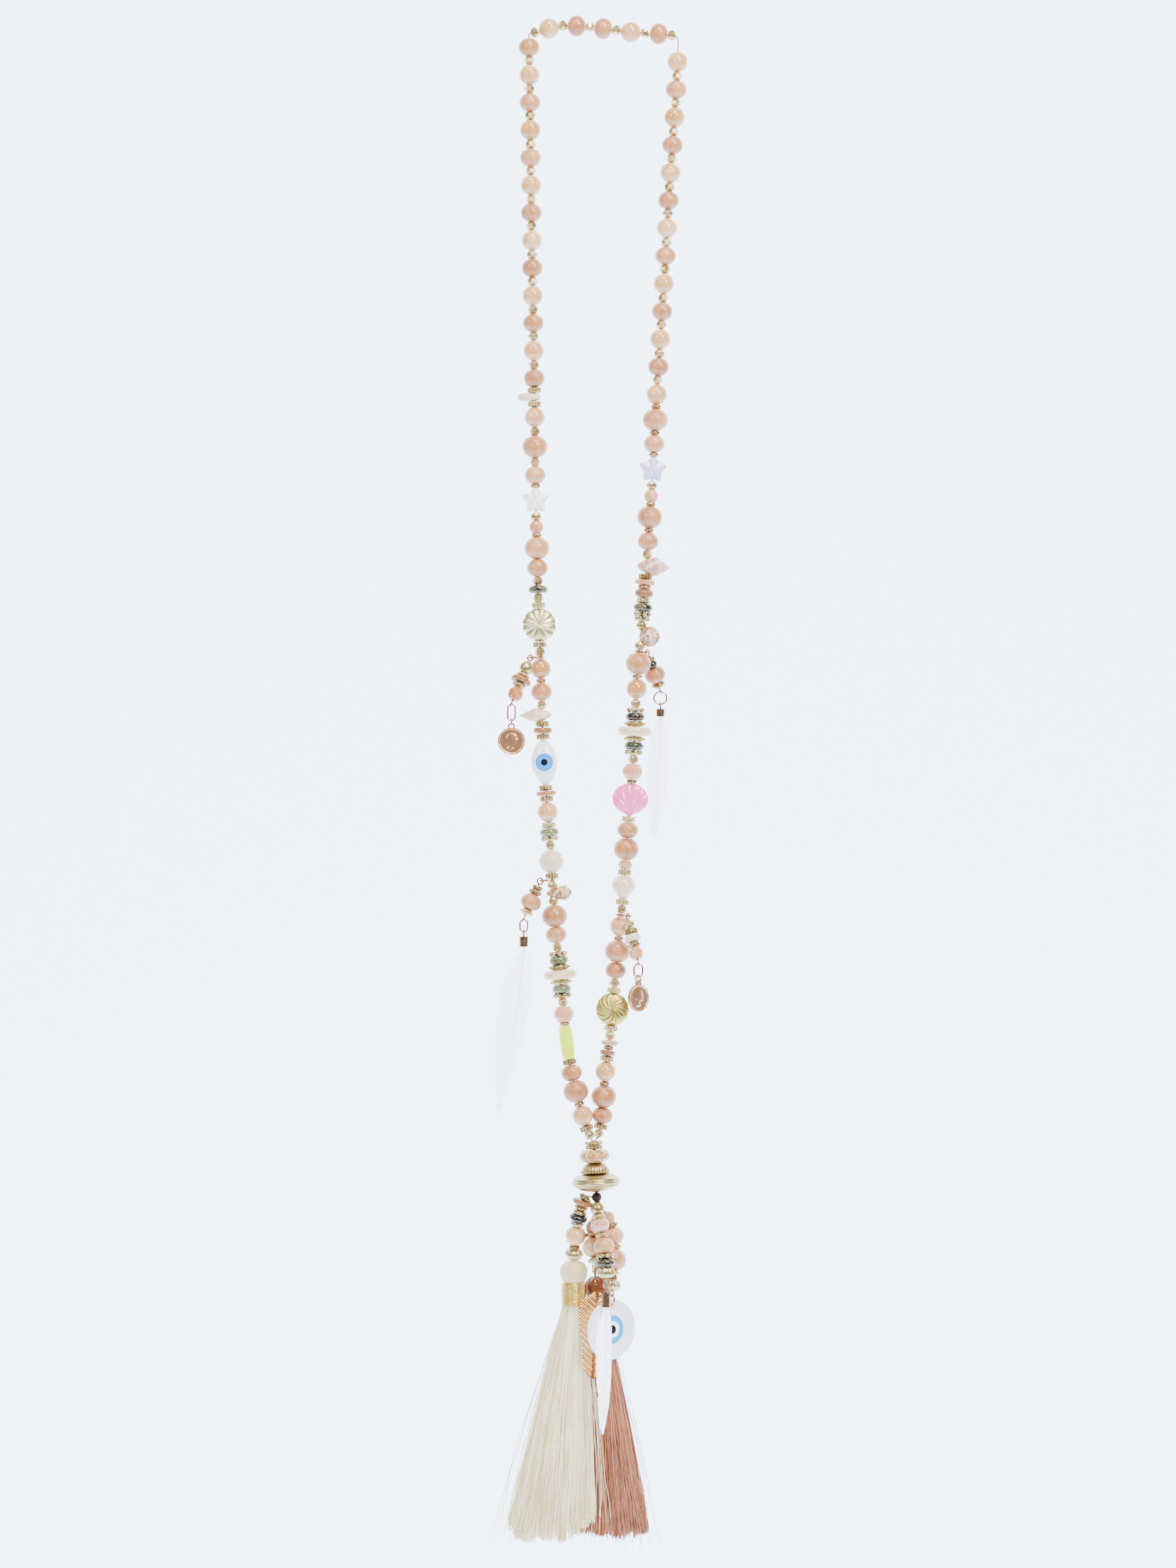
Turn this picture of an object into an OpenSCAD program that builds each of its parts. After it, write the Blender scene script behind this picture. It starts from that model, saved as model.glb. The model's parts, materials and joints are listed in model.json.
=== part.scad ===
// Tassel necklace: one long loop of wooden, stone, shell and gilt beads, a join, and a bunch of
// short strands with two tassels, a feather charm and an eye disc. It hangs from the middle of
// its top run, which is the origin: +Z up, -Y towards the viewer.

/* [Round beads] */
// Diameter of the small wooden beads
wood_d = 8.2; // [7:0.1:9]
// Length of the small wooden beads along the thread
wood_l = 6.8; // [6:0.1:7.6]
// Diameter of the large wooden beads
big_wood_d = 9.9; // [9:0.1:11]
// Length of the large wooden beads along the thread
big_wood_l = 8.4; // [7.6:0.1:9.4]
// Diameter of the round stone beads
jade_d = 8.1; // [7:0.1:9]
// Length of the round stone beads along the thread
jade_l = 7.8; // [7:0.1:8.6]
// Diameter of the faceted gilt beads
gold_d = 3.8; // [3.2:0.1:4.6]
// Length of the faceted gilt beads along the thread
gold_l = 3.25; // [2.8:0.05:4]

/* [Spacers] */
// Diameter of the plain gilt rings
ring_d = 4.2; // [3.6:0.1:5.4]
// Length of the plain gilt rings
ring_l = 1.5; // [1.2:0.1:2]
// Diameter of the granulated spacers
grain_d = 5.4; // [4.6:0.1:6.4]
// Length of the granulated spacers
grain_l = 2.2; // [1.8:0.1:3]
// Diameter of the daisy spacers
daisy_d = 7.4; // [6:0.1:8.6]
// Length of the daisy spacers
daisy_l = 1.7; // [1.4:0.1:2.4]
// Diameter of the beaded rings beside the howlite discs
beaded_d = 8.6; // [7:0.1:10]
// Length of the beaded rings
beaded_l = 2.1; // [1.8:0.1:3]
// Diameter of the ribbed melon spacers in the bunch
melon_d = 7.2; // [6:0.1:8.6]
// Length of the ribbed melon spacers
melon_l = 4.1; // [3:0.1:5]

/* [Stones] */
// Diameter of the green rondelles
rondelle_d = 7.7; // [6:0.1:9]
// Length of the green rondelles
rondelle_l = 3.1; // [2.4:0.1:4]
// Diameter of the howlite discs
howlite_d = 13.3; // [11:0.1:15]
// Length of the howlite discs
howlite_l = 3.5; // [3:0.1:4.4]
// Diameter of the thin shell discs
disc_d = 8; // [6:0.1:9]
// Length of the thin shell discs
disc_l = 1.9; // [1.2:0.1:2.4]
// Diameter of the small faceted stones
facet_d = 5.3; // [4.4:0.1:6.4]
// Length of the small faceted stones
facet_l = 4.6; // [3.6:0.1:5.4]
// Diameter of the large faceted stones
big_facet_d = 7.6; // [6.4:0.1:8.8]
// Length of the large faceted stones
big_facet_l = 6; // [5:0.1:7]

/* [Special beads] */
// Width over the points of the star beads
star_d = 10.9; // [9:0.1:13]
// Thickness of the star beads
star_t = 4.8; // [3.6:0.1:6]
// Diameter of the flower bead
flower_d = 13.2; // [11:0.1:15]
// Thickness of the flower bead
flower_t = 6.4; // [5:0.1:8]
// Diameter of the swirl bead
swirl_d = 12.9; // [11:0.1:15]
// Thickness of the swirl bead
swirl_t = 6.2; // [5:0.1:8]
// Width of the glass eye bead
eye_w = 10.3; // [9:0.1:12]
// Length of the glass eye bead
eye_l = 17.6; // [15:0.1:20]
// Thickness of the glass eye bead
eye_t = 6.4; // [5:0.1:8]
// Diameter of the cotton pearl
pearl_d = 9.6; // [8:0.1:11]
// Diameter of the yellow glass tube
tube_d = 5.6; // [4.6:0.1:7]
// Length of the yellow glass tube
tube_l = 12.9; // [11:0.1:15]
// Width of the scallop bead
scallop_w = 14; // [12:0.1:16]
// Height of the scallop bead
scallop_h = 12.8; // [11:0.1:15]
// Thickness of the scallop bead
scallop_t = 5; // [4:0.1:6]
// Diameter of the howlite nugget
nugget_d = 9.3; // [8:0.1:11]
// Length of the howlite nugget
nugget_l = 9.2; // [8:0.1:11]

/* [Join] */
// Diameter of the saucer bead
saucer_d = 19.4; // [16:0.1:23]
// Height of the saucer bead
saucer_h = 7.7; // [6:0.1:10]
// Diameter of the dome cap
cap_d = 11.5; // [9:0.1:14]
// Height of the dome cap
cap_h = 4.2; // [3.4:0.1:6]
// Diameter of the swirled join stone
join_stone_d = 12; // [10:0.1:14]
// Height of the swirled join stone
join_stone_h = 4.9; // [4:0.1:6.4]
// Diameter of the double spacer at the top of the join
join_spacer_d = 7.1; // [6:0.1:8.4]
// Height of the double spacer
join_spacer_h = 3.2; // [3:0.1:4.4]
// Diameter of the knot under the saucer
knot_d = 4; // [3.4:0.1:5]

/* [Tassels] */
// Length of the tassel skirts below their bands
skirt_l = 91; // [70:1:110]
// Diameter of the tassel heads
head_d = 11; // [9:0.1:12]
// Height of the tassel heads
head_h = 8.6; // [7:0.1:11]
// Height of the wound bands
band_h = 9; // [6:0.1:12]
// Outer diameter of the wound bands
band_d = 9.9; // [9:0.1:10.6]
// Width of a skirt at its hem
hem_w = 35; // [24:0.5:40]
// Depth of a skirt at its hem
hem_depth = 9; // [8:0.5:11]

/* [Charms] */
// Diameter of the coin charms
coin_d = 10.6; // [9:0.1:14]
// Thickness of the coin charms
coin_t = 1.2; // [1:0.1:1.6]
// Diameter of the mother-of-pearl disc
shell_disc_d = 23.6; // [20:0.2:26]
// Thickness of the mother-of-pearl disc
shell_disc_t = 1.6; // [1.2:0.1:1.8]
// Thickness of the gold feather charm
leaf_t = 1.2; // [1:0.1:1.4]
// Thickness of the feathers along their quills
feather_t = 1; // [0.8:0.1:1.4]

/* [Threads and wires] */
// Diameter of the threads
thread_d = 0.6; // [0.4:0.05:0.7]
// Diameter of the holes in the beads
bore_d = 1.2; // [1.1:0.1:1.6]
// Gap left between neighbouring beads
bead_gap = 0.13; // [0.1:0.01:0.2]
// Wire of the drop pins and their eyes
pin_wire = 0.6; // [0.5:0.05:0.8]
// Wire of the jump rings round the thread
jump_wire = 0.8; // [0.6:0.05:1]
// Outer diameter of the jump rings round the thread
jump_d = 6.6; // [6:0.1:7]
// Wire of the rings that carry the charms
ring_wire = 0.7; // [0.6:0.05:0.9]

/* [Hidden] */
$fn = 40;

// Each kind of bead: name, group, length along the thread, diameter.
// The group "fine" keeps its place on the thread and is drawn with the surfaces.
KINDS = [
  ["wood", "wood", wood_l, wood_d],
  ["big wood", "wood", big_wood_l, big_wood_d],
  ["low wood", "wood", wood_l - 0.6, wood_d],
  ["jade", "jade", jade_l, jade_d],
  ["gold", "gold", gold_l, gold_d],
  ["round gold", "gold", 4.6, 5.5],
  ["ring", "fine", ring_l, ring_d],
  ["flat gold", "fine", 1.6, 5.6],
  ["seed", "fine", 2.1, 5.4],
  ["small daisy", "fine", daisy_l, 6.2],
  ["grain", "spacer", grain_l, grain_d],
  ["daisy", "spacer", daisy_l, daisy_d],
  ["beaded", "spacer", beaded_l, beaded_d],
  ["melon", "spacer", melon_l, melon_d],
  ["rondelle", "stone", rondelle_l, rondelle_d],
  ["bronze", "stone", rondelle_l, rondelle_d],
  ["dark", "stone", 2.7, 7.2],
  ["olive", "stone", 2.8, 4.6],
  ["disc", "stone", disc_l, disc_d],
  ["thick disc", "stone", 3, 7.4],
  ["chip", "stone", 2.1, 7],
  ["slice", "stone", 2.6, 7.2],
  ["facet", "stone", facet_l, facet_d],
  ["low facet", "stone", facet_l - 1.2, facet_d],
  ["big facet", "stone", big_facet_l, big_facet_d],
  ["coral", "stone", 5.2, 5.6],
  ["pebble", "stone", 5, 10.6],
  ["clear", "stone", 3.2, 6.6],
  ["howlite", "own", howlite_l, howlite_d],
  ["link", "own", jump_wire, jump_d],
  ["petal", "own", 3, 5.6],
  ["star", "own", star_d * 0.86, star_d],
  ["flower", "own", flower_d * 0.985, flower_d],
  ["spiral", "own", 4.4, 6.1],
  ["eye", "own", eye_l, eye_w],
  ["pearl", "own", pearl_d * 0.95, pearl_d],
  ["cone", "own", 2.4, 6.1],
  ["tube", "own", tube_l, tube_d],
  ["whelk", "own", 5.6, 7.8],
  ["ribbed", "own", 4.4, 8.4],
  ["scallop", "own", scallop_h * 0.985, scallop_w],
  ["nugget", "own", nugget_l, nugget_d],
  ["swirl", "own", swirl_d * 0.96, swirl_d]];
function kind(name) = KINDS[search([name], KINDS, 1, 0)[0]];
function length_of(name) = kind(name)[2];
function total(list, i = 0) = i < len(list) ? list[i] + total(list, i + 1) : 0;
function repeat(list, times) = [for (k = [1:times], item = list) item];

// Beads in order, from the top of each strand to the join
UPPER = ["wood", "gold", "jade", "gold"];
LEFT = concat(repeat(UPPER, 6), ["wood", "grain", "petal", "grain", "jade", "gold", "big wood",
  "gold", "wood", "ring", "star", "gold", "facet", "ring", "big wood", "wood", "gold",
  "bronze", "gold", "grain", "flower", "grain", "gold", "link", "jade", "ring", "wood",
  "gold", "spiral", "grain", "slice", "grain", "eye", "grain", "disc", "grain", "jade",
  "grain", "rondelle", "daisy", "gold", "pearl", "grain", "link", "gold", "cone", "gold",
  "big wood", "low wood", "gold", "daisy", "rondelle", "beaded", "howlite", "beaded",
  "rondelle", "daisy", "gold", "big facet", "ring", "tube", "grain", "low wood", "big wood",
  "ring", "jade", "grain", "gold"]);
RIGHT = concat(["jade", "gold"], repeat(UPPER, 5), ["wood", "gold", "jade", "ring",
  "big wood", "ring", "wood", "ring", "star", "gold", "facet", "ring", "big wood", "ring",
  "wood", "gold", "whelk", "grain", "disc", "flat gold", "thick disc", "grain", "bronze", "daisy",
  "small daisy", "gold", "ribbed", "gold", "link", "big wood", "ring", "jade", "gold",
  "daisy", "rondelle", "beaded", "howlite", "beaded", "rondelle", "daisy", "gold",
  "big facet", "ring", "scallop", "grain", "low wood", "big wood", "low facet", "grain",
  "nugget", "grain", "gold", "link", "jade", "ring", "big wood", "low wood", "gold", "grain",
  "swirl", "grain", "gold", "chip", "ring", "chip", "grain", "jade", "ring", "big wood",
  "low wood", "grain", "gold"]);
TOP = ["gold", "jade", "gold", "wood", "gold", "wood", "gold", "jade", "gold", "wood", "gold"];
CREAM = ["seed", "disc", "seed", "flat gold", "dark", "seed", "jade", "ring", "melon"];
FRONT = ["round gold", "seed", "pebble", "seed", "low wood", "daisy", "rondelle", "melon"];
LEAF = ["facet", "flat gold", "jade", "seed"];
DISC = ["facet", "seed", "big facet", "seed", "big wood", "seed", "ring", "melon"];
PEACH = ["jade", "gold", "wood", "gold", "seed"];
// Side drops: strand, which of its links, lean outwards, beads on the pin
DROPS = [
  ["left", 0, [-0.4, -0.34, -1], ["round gold", "seed", "disc", "seed", "coral"]],
  ["right", 0, [0.35, 0.42, -1], ["ring", "olive", "low wood", "seed"]],
  ["left", 1, [-0.44, -0.2, -1], ["ring", "seed", "low wood", "seed"]],
  ["right", 1, [0.225, -0.4, -1], ["gold", "grain", "clear", "seed", "facet"]]];

// Routes of the strings as they hang: x, y, z
join_top = [-4.3, 0, -433.6];
twin = [0.3, 0.45, 0];
LEFT_ROUTE = [[-29.6, 0, -2.6], [-29.2, 0, -28], [-28.8, 0, -60], [-28.3, 0, -95],
  [-27.5, 0, -136], [-27, 0, -180], [-25.9, 0, -222], [-24.9, 0, -252], [-23.6, 0, -287],
  [-21.4, 0, -316], [-19.6, 0, -346], [-17, 0, -372], [-14.8, -0.2, -396],
  [-11.6, -1.1, -413], [-8.6, -1.6, -423.6], [-6.8, -1.4, -429.4], [-5.4, -1, -432.8]];
RIGHT_ROUTE = [[28.7, 0, -7.8], [27.9, 0, -24], [26.8, 0, -41], [25.1, 0, -64],
  [23.8, 0, -88], [22.3, 0, -112], [20.4, 0, -141], [18.8, 0, -172], [16.8, 0, -202],
  [14.6, 0, -230], [12.5, 0, -256], [11.3, 0, -283], [8.9, 0, -314], [7, 0, -340],
  [4.4, 0, -366], [2.4, 0, -390], [0.2, 0.6, -407], [-0.3, 1.4, -418], [-0.9, 1.6, -424.6],
  [-1.7, 1.4, -429], [-2.7, 1, -432.6]];
TOP_ROUTE = [[-28.9, 0, -0.6], [-24, 0, 0.6], [-17, 0, 2.4], [-10.3, 0, 2.3], [0, 0, 1.2],
  [10.6, 0, -0.4], [19, 0, -0.5], [28, 0, -1.6]];
LEFT_CORNER = [-29.7, 0, -1.2];
RIGHT_CORNER = [28.9, 0, -4];

// Routes of the short strands below the knot, from the knot's centre
CREAM_ROUTE = [[-1.9, 0.2, -0.2], [-4.4, 0.3, 0.4], [-5.4, 0.5, -1.8], [-6.2, 0.8, -4.6],
  [-7.1, 1.3, -7.8], [-7.9, 2.2, -11.8], [-8.5, 3.4, -15.9], [-8.8, 4.8, -20.4], [-9, 6, -24.9]];
FRONT_ROUTE = [[0.1, -0.9, -1.9], [0.6, -3, -7], [1.6, -4.4, -12.4], [2.75, -6.1, -17.6],
  [3.3, -7.6, -22.6], [3.6, -8.8, -30.6]];
LEAF_ROUTE = [[-0.5, 1.4, -1.6], [-1.7, 4.6, -7], [-1.6, 4.8, -13.6], [-1.8, 1.8, -20.4],
  [-0.6, 0.4, -25.8]];
DISC_ROUTE = [[0.9, 1.3, -1.6], [4, 4, -8], [7, 4.8, -15], [7.2, 3.6, -20.5],
  [6.2, 2, -25.6], [6.2, -0.6, -31.6], [5.7, -2.4, -36.2]];
PEACH_ROUTE = [[0, 1.9, -1], [0.4, 10, -4.6], [1, 11.9, -11], [1.3, 12, -21],
  [0.6, 12, -31.8]];

// Smooth curve through the points of a route
steps = 6;
function bend(a, b, c, d, t) = 0.5 * (2 * b + (c - a) * t + (2 * a - 5 * b + 4 * c - d) * t * t
  + (3 * b - a - 3 * c + d) * t * t * t);
function smooth(p) = [for (i = [0:len(p) - 2], k = [0:steps - 1])
  bend(p[max(i - 1, 0)], p[i], p[i + 1], p[min(i + 2, len(p) - 1)], k / steps), p[len(p) - 1]];
function runs(p) = [for (i = 0, s = 0; i < len(p); i = i + 1,
  s = s + (i < len(p) ? norm(p[i] - p[i - 1]) : 0)) s];
function track(route) = let (p = smooth(route), s = runs(p))
  [for (axis = [0:2]) [for (i = [0:len(p) - 1]) [s[i], p[i][axis]]]];
function track_end(t) = t[0][len(t[0]) - 1][0];
function at(t, s) = [lookup(s, t[0]), lookup(s, t[1]), lookup(s, t[2])];

// Beads share a track. The slack is spread between them, or all left above them (hang = 1).
function needed(beads) = total([for (b = beads) length_of(b) + bead_gap]);
function stretch(route, beads) = needed(beads) / track_end(track(route));
function starts(t, beads, hang = 0) =
  let (slack = track_end(t) - needed(beads),
    pitch = bead_gap + (1 - hang) * slack / len(beads))
  [for (i = 0, s = hang * slack; i <= len(beads);
    s = s + (i < len(beads) ? length_of(beads[i]) + pitch : 0), i = i + 1) s];
function stops(t, beads, hang = 0) = [for (s = starts(t, beads, hang)) at(t, s)];
// Seats: kind, centre, direction up the string
function seats(t, beads, hang = 0) = let (p = stops(t, beads, hang))
  [for (i = [0:len(beads) - 1]) [beads[i], (p[i] + p[i + 1]) / 2, p[i] - p[i + 1]]];
function seat(list, name, nth = 0) = [for (s = list) if (s[0] == name) s][nth];

loop_fit = max([stretch(LEFT_ROUTE, LEFT), stretch(RIGHT_ROUTE, RIGHT), stretch(TOP_ROUTE, TOP)]);
left_track = track(LEFT_ROUTE * loop_fit);
right_track = track(RIGHT_ROUTE * loop_fit);
top_track = track(TOP_ROUTE * loop_fit);
left_seats = seats(left_track, LEFT);
right_seats = seats(right_track, RIGHT);
top_seats = seats(top_track, TOP);
top_half = (len(TOP) - 1) / 2;
left_half = concat(left_seats, [for (i = [0:top_half - 1]) top_seats[i]]);
right_half = concat(right_seats, [for (i = [top_half:len(TOP) - 1]) top_seats[i]]);

// Join: a short stack that leans with the strands
join_lean = [0.055, 0, -1];
function down(s) = join_top * loop_fit + join_lean * s;
twin_bore_d = 2 * norm(twin) + thread_d + 0.4;
join_spacer_s = bead_gap + join_spacer_h / 2;
join_stone_s = join_spacer_s + (join_spacer_h + join_stone_h) / 2 + bead_gap;
cap_s = join_stone_s + (join_stone_h + cap_h) / 2 + bead_gap;
saucer_s = cap_s + (cap_h + saucer_h) / 2 - 0.4;
knot_s = saucer_s + (saucer_h + knot_d) / 2 + bead_gap;
knot_at = down(knot_s);

function below(route, beads) =
  let (k = max(1, stretch(route, beads))) track([for (p = route) knot_at + p * k]);
cream_track = below(CREAM_ROUTE, CREAM);
front_track = below(FRONT_ROUTE, FRONT);
leaf_track = below(LEAF_ROUTE, LEAF);
disc_track = below(DISC_ROUTE, DISC);
peach_track = below(PEACH_ROUTE, PEACH);
function foot(t) = at(t, track_end(t));
cluster_seats = concat(seats(cream_track, CREAM, 1), seats(front_track, FRONT, 1),
  seats(leaf_track, LEAF, 1), seats(disc_track, DISC, 1), seats(peach_track, PEACH, 1));

// Leans a piece so that its own +Z follows the string upwards
module lean(up) rotate([-asin(up[1] / norm(up)), atan2(up[0], up[2]), 0]) children();
module at_seat(s) translate(s[1]) lean(s[2]) children();
module bore(l = 40, d = bore_d) cylinder(d = d, h = l, center = true);

// Half section of a round bead with a given rim, and the bead itself, drilled along Z
module barrel_half(d, l, rim, hole) {
  inset = d / 2 - rim;
  arc_r = (inset * inset + l * l / 4) / (2 * inset);
  intersection() {
    union() {
      translate([d / 2 - arc_r, 0]) circle(arc_r, $fn = 160);
      if (arc_r < d / 2) translate([0, -l / 2]) square([d / 2 - arc_r, l]);
    }
    translate([hole / 2, -l / 2]) square([d, l]);
  }
}
module barrel(d, l, rim, hole = bore_d) rotate_extrude() barrel_half(d, l, rim, hole);
module lobes(d, n, share) {
  lobe = d / 2 * sin(180 / n) * share;
  circle(d / 2 - lobe * 0.9);
  for (i = [0:n - 1]) rotate(i * 360 / n) translate([d / 2 - lobe, 0]) circle(lobe, $fn = 16);
}
module ribbed(d, l, n) {
  intersection() {
    barrel(d + 0.01, l, d * 0.3);
    linear_extrude(l, center = true) lobes(d, n, 1);
  }
}
module knobbed(d, l, n) {
  difference() {
    linear_extrude(l, center = true) lobes(d, n, 0.95);
    bore();
  }
}
module faceted(d, l, sides) {
  wide = d / cos(180 / sides);
  belt = l * 0.34;
  intersection() {
    rotate_extrude() polygon([[bore_d / 2, -l / 2], [wide * 0.31, -l / 2], [wide / 2, -belt / 2],
      [wide / 2, belt / 2], [wide * 0.31, l / 2], [bore_d / 2, l / 2]]);
    cylinder(d = wide, h = l + 1, center = true, $fn = sides);
  }
}
module bead(name) {
  l = kind(name)[2];
  d = kind(name)[3];
  if (name == "wood" || name == "big wood" || name == "low wood") barrel(d, l, d * 0.17);
  if (name == "jade" || name == "pearl") barrel(d, l, d * 0.12);
  if (name == "gold") faceted(d, l, 8);
  if (name == "facet" || name == "low facet" || name == "big facet" || name == "coral")
    faceted(d, l, 9);
  if (name == "round gold" || name == "pebble" || name == "clear") barrel(d, l, d * 0.24);
  if (name == "grain") knobbed(d, l, 10);
  if (name == "daisy") knobbed(d, l, 8);
  if (name == "beaded") knobbed(d, l, 12);
  if (name == "melon") ribbed(d, l, 14);
  if (name == "rondelle" || name == "bronze" || name == "dark") barrel(d, l, d * 0.3);
  if (name == "olive") barrel(d, l, d * 0.3);
  if (name == "disc" || name == "howlite") barrel(d, l, d * 0.4);
  if (name == "thick disc") barrel(d, l, d * 0.32);
  if (name == "chip") barrel(d, l, d * 0.38);
  if (name == "slice") rotate([0, 6, 0]) barrel(d, l - 0.4, d * 0.36);
}
// Bore of a shell, opened at both ends so that the neighbours nest in it
module nest(l, above, below) {
  bore();
  translate([0, 0, l / 2 + 0.05]) cylinder(d = above + 0.6, h = 9);
  translate([0, 0, -l / 2 - 9.05]) cylinder(d = below + 0.6, h = 9);
}
// Every bead of one group along a list of seats
module field(list, group) {
  for (s = list) if (kind(s[0])[1] == group) at_seat(s) bead(s[0]);
}

// A skin over rings that all have the same number of points
module loft(rings) {
  n = len(rings[0]);
  m = len(rings);
  points = [for (r = rings, p = r) p];
  skin = [for (i = [0:m - 2], k = [0:n - 1])
    let (a = i * n + k, b = i * n + (k + 1) % n) [[a, b, b + n], [a, b + n, a + n]]];
  ends = [[for (k = [n - 1:-1:0]) k], [for (k = [0:n - 1]) (m - 1) * n + k]];
  polyhedron(points, concat([for (pair = skin, face = pair) face], ends));
}
// A thread swept along points
module sweep(path, d, sides = 6) {
  n = len(path);
  function heading(i) = path[min(i + 1, n - 1)] - path[max(i - 1, 0)];
  function side(i) = let (c = cross(heading(i), [0, 1, 0])) c / norm(c);
  function fore(i) = let (c = cross(heading(i), side(i))) c / norm(c);
  loft([for (i = [0:n - 1]) [for (k = [0:sides - 1])
    path[i] + d / 2 * (cos(k * 360 / sides) * side(i) + sin(k * 360 / sides) * fore(i))]]);
}
function back(list) = [for (i = [len(list) - 1:-1:0]) list[i]];
// Wire loops that stand in the XZ plane
module loop(r, wire) rotate([90, 0, 0]) rotate_extrude() translate([r, 0]) circle(d = wire, $fn = 16);
module oval(w, h, wire) {
  rotate([90, 0, 0])
    for (turn = [0, 180]) rotate(turn) {
      translate([0, (h - w) / 2])
        rotate_extrude(angle = 180) translate([(w - wire) / 2, 0]) circle(d = wire, $fn = 16);
      translate([(w - wire) / 2, 0]) rotate([90, 0, 0])
        cylinder(d = wire, h = h - w, center = true, $fn = 16);
    }
}

// Puffed disc with ridges from a pole to its rim; reach gives the rim for each direction
module relief(reach, t, ridges, depth, turn = 0, n = 60) {
  levels = [0.3, 0.6, 0.82, 0.95, 1];
  function crest(k, f) = abs(sin(ridges * (k * 360 / n - turn * f) / 2));
  function puff(f) = t / 2 * sqrt(1 - 0.9 * f * f);
  function point(k, f, s) = let (a = k * 360 / n, r = reach(a) * f)
    [r * sin(a), s * puff(f) * (1 - depth * min(1, 2 * f) * (1 - crest(k, f))), r * cos(a)];
  function ring(f, s) = [for (k = [0:n - 1]) point(k, f, s)];
  difference() {
    loft(concat([for (f = levels) ring(f, -1)], [for (f = back(levels)) ring(f, 1)]));
    children();
  }
}
// Shell that winds round X; its profile gives radii from one end to the other
module shell(profile, turns, wave, n = 16) {
  m = 2 * len(profile) - 1;
  function r(i) = i % 2 == 0 ? profile[i / 2] : (profile[(i - 1) / 2] + profile[(i + 1) / 2]) / 2;
  loft([for (i = [0:m - 1]) [for (k = [0:n - 1])
    let (a = k * 360 / n, q = r(i)[1] * (1 - wave + wave * cos(turns * 360 * i / m - a)))
    [r(i)[0], q * cos(a), q * sin(a)]]]);
}

module thread() {
  inner = down(knot_s - knot_d * 0.3);
  color("peru")
    sweep(concat([inner - twin, down(0.04) - twin], back(stops(left_track, LEFT)),
      [LEFT_CORNER * loop_fit], stops(top_track, TOP), [RIGHT_CORNER * loop_fit],
      stops(right_track, RIGHT), [down(0.04) + twin, inner + twin]), thread_d);
}
// Threads of the bunch: from inside the knot to a tied eye or into a tassel head
eye_r = 1;
front_drop = 2;
function tied(end, drop = 0.5) = [for (a = [60:-30:-240])
  end + [eye_r * cos(a), 0, eye_r * (sin(a) - 1) - drop]];
function strung(t, beads) = concat([knot_at + (at(t, 0) - knot_at) * 0.7], stops(t, beads, 1));
module cluster_threads() {
  color("peru") {
    sweep(concat(strung(cream_track, CREAM), [foot(cream_track) - [0, 0, 3]]), thread_d);
    sweep(concat(strung(peach_track, PEACH), [foot(peach_track) - [0, 0, 3]]), thread_d);
    sweep(concat(strung(front_track, FRONT), tied(foot(front_track), front_drop)), thread_d);
    sweep(concat(strung(leaf_track, LEAF), tied(foot(leaf_track))), thread_d);
    sweep(concat(strung(disc_track, DISC), tied(foot(disc_track))), thread_d);
  }
}
module knot() {
  color("saddlebrown")
    difference() {
      translate(knot_at) sphere(d = knot_d);
      for (s = [-1, 1]) translate(down(knot_s - knot_d * 0.3) + s * twin)
        lean(-join_lean) cylinder(d = thread_d + 0.1, h = knot_d, $fn = 16);
      for (t = [cream_track, front_track, leaf_track, disc_track, peach_track])
        translate(knot_at) lean(at(t, 0) - knot_at)
          translate([0, 0, 0.7 * norm(at(t, 0) - knot_at)])
            cylinder(d = thread_d + 0.3, h = knot_d, $fn = 16);
    }
}

module wood_beads_left() color("burlywood") field(left_half, "wood");
module wood_beads_right() color("burlywood") field(right_half, "wood");
module jade_beads_left() color("bisque") field(left_half, "jade");
module jade_beads_right() color("bisque") field(right_half, "jade");
module gold_beads_left() color("gold") field(left_half, "gold");
module gold_beads_right() color("gold") field(right_half, "gold");
module spacers_left() color("goldenrod") field(left_half, "spacer");
module spacers_right() color("goldenrod") field(right_half, "spacer");
module stones_left() color("teal") field(left_half, "stone");
module stones_right() color("teal") field(right_half, "stone");

module petal_left() {
  l = length_of("petal");
  color("wheat") at_seat(seat(left_seats, "petal"))
    difference() {
      intersection() {
        linear_extrude(l, center = true)
          union() {
            circle(2.4);
            translate([-5.9, 0]) circle(0.9);
            polygon([[-0.6, 2.32], [-6.1, 0.88], [-6.1, -0.88], [-0.6, -2.32]]);
          }
        translate([-2.2, 0, 0]) sphere(5.4);
      }
      bore();
    }
}
module star(s, turn) {
  at_seat(s)
    difference() {
      intersection() {
        rotate([90, 0, 0]) linear_extrude(star_t, center = true)
          intersection() {
            polygon([for (k = [0:9]) let (r = k % 2 == 0 ? star_d * 0.54 : star_d * 0.345)
              [r * sin(k * 36), r * cos(k * 36)]]);
            circle(star_d * 0.49);
          }
        for (y = [-1, 1]) translate([0, y * (star_d - star_t / 2), 0]) sphere(star_d);
      }
      bore();
    }
}
module star_left() color("whitesmoke") star(seat(left_seats, "star"));
module star_right() color("thistle") star(seat(right_seats, "star"));
module flower_bead() {
  color("gold") at_seat(seat(left_seats, "flower"))
    relief(function (a) flower_d / 2 * (0.94 + 0.06 * abs(sin(6 * a))), flower_t, 12, 0.16) bore();
}
module spiral_shell() {
  color("whitesmoke") at_seat(seat(left_seats, "spiral"))
    difference() {
      shell([[-8.9, 0.3], [-7.5, 0.95], [-5.8, 1.8], [-4, 2.6], [-2.4, 3.05], [-0.9, 2.75],
        [0.4, 2.2], [1.5, 1.8], [2.7, 1.3], [3.6, 0.6]], 4.5, 0.09);
      nest(length_of("spiral"), gold_d, grain_d);
    }
}
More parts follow.
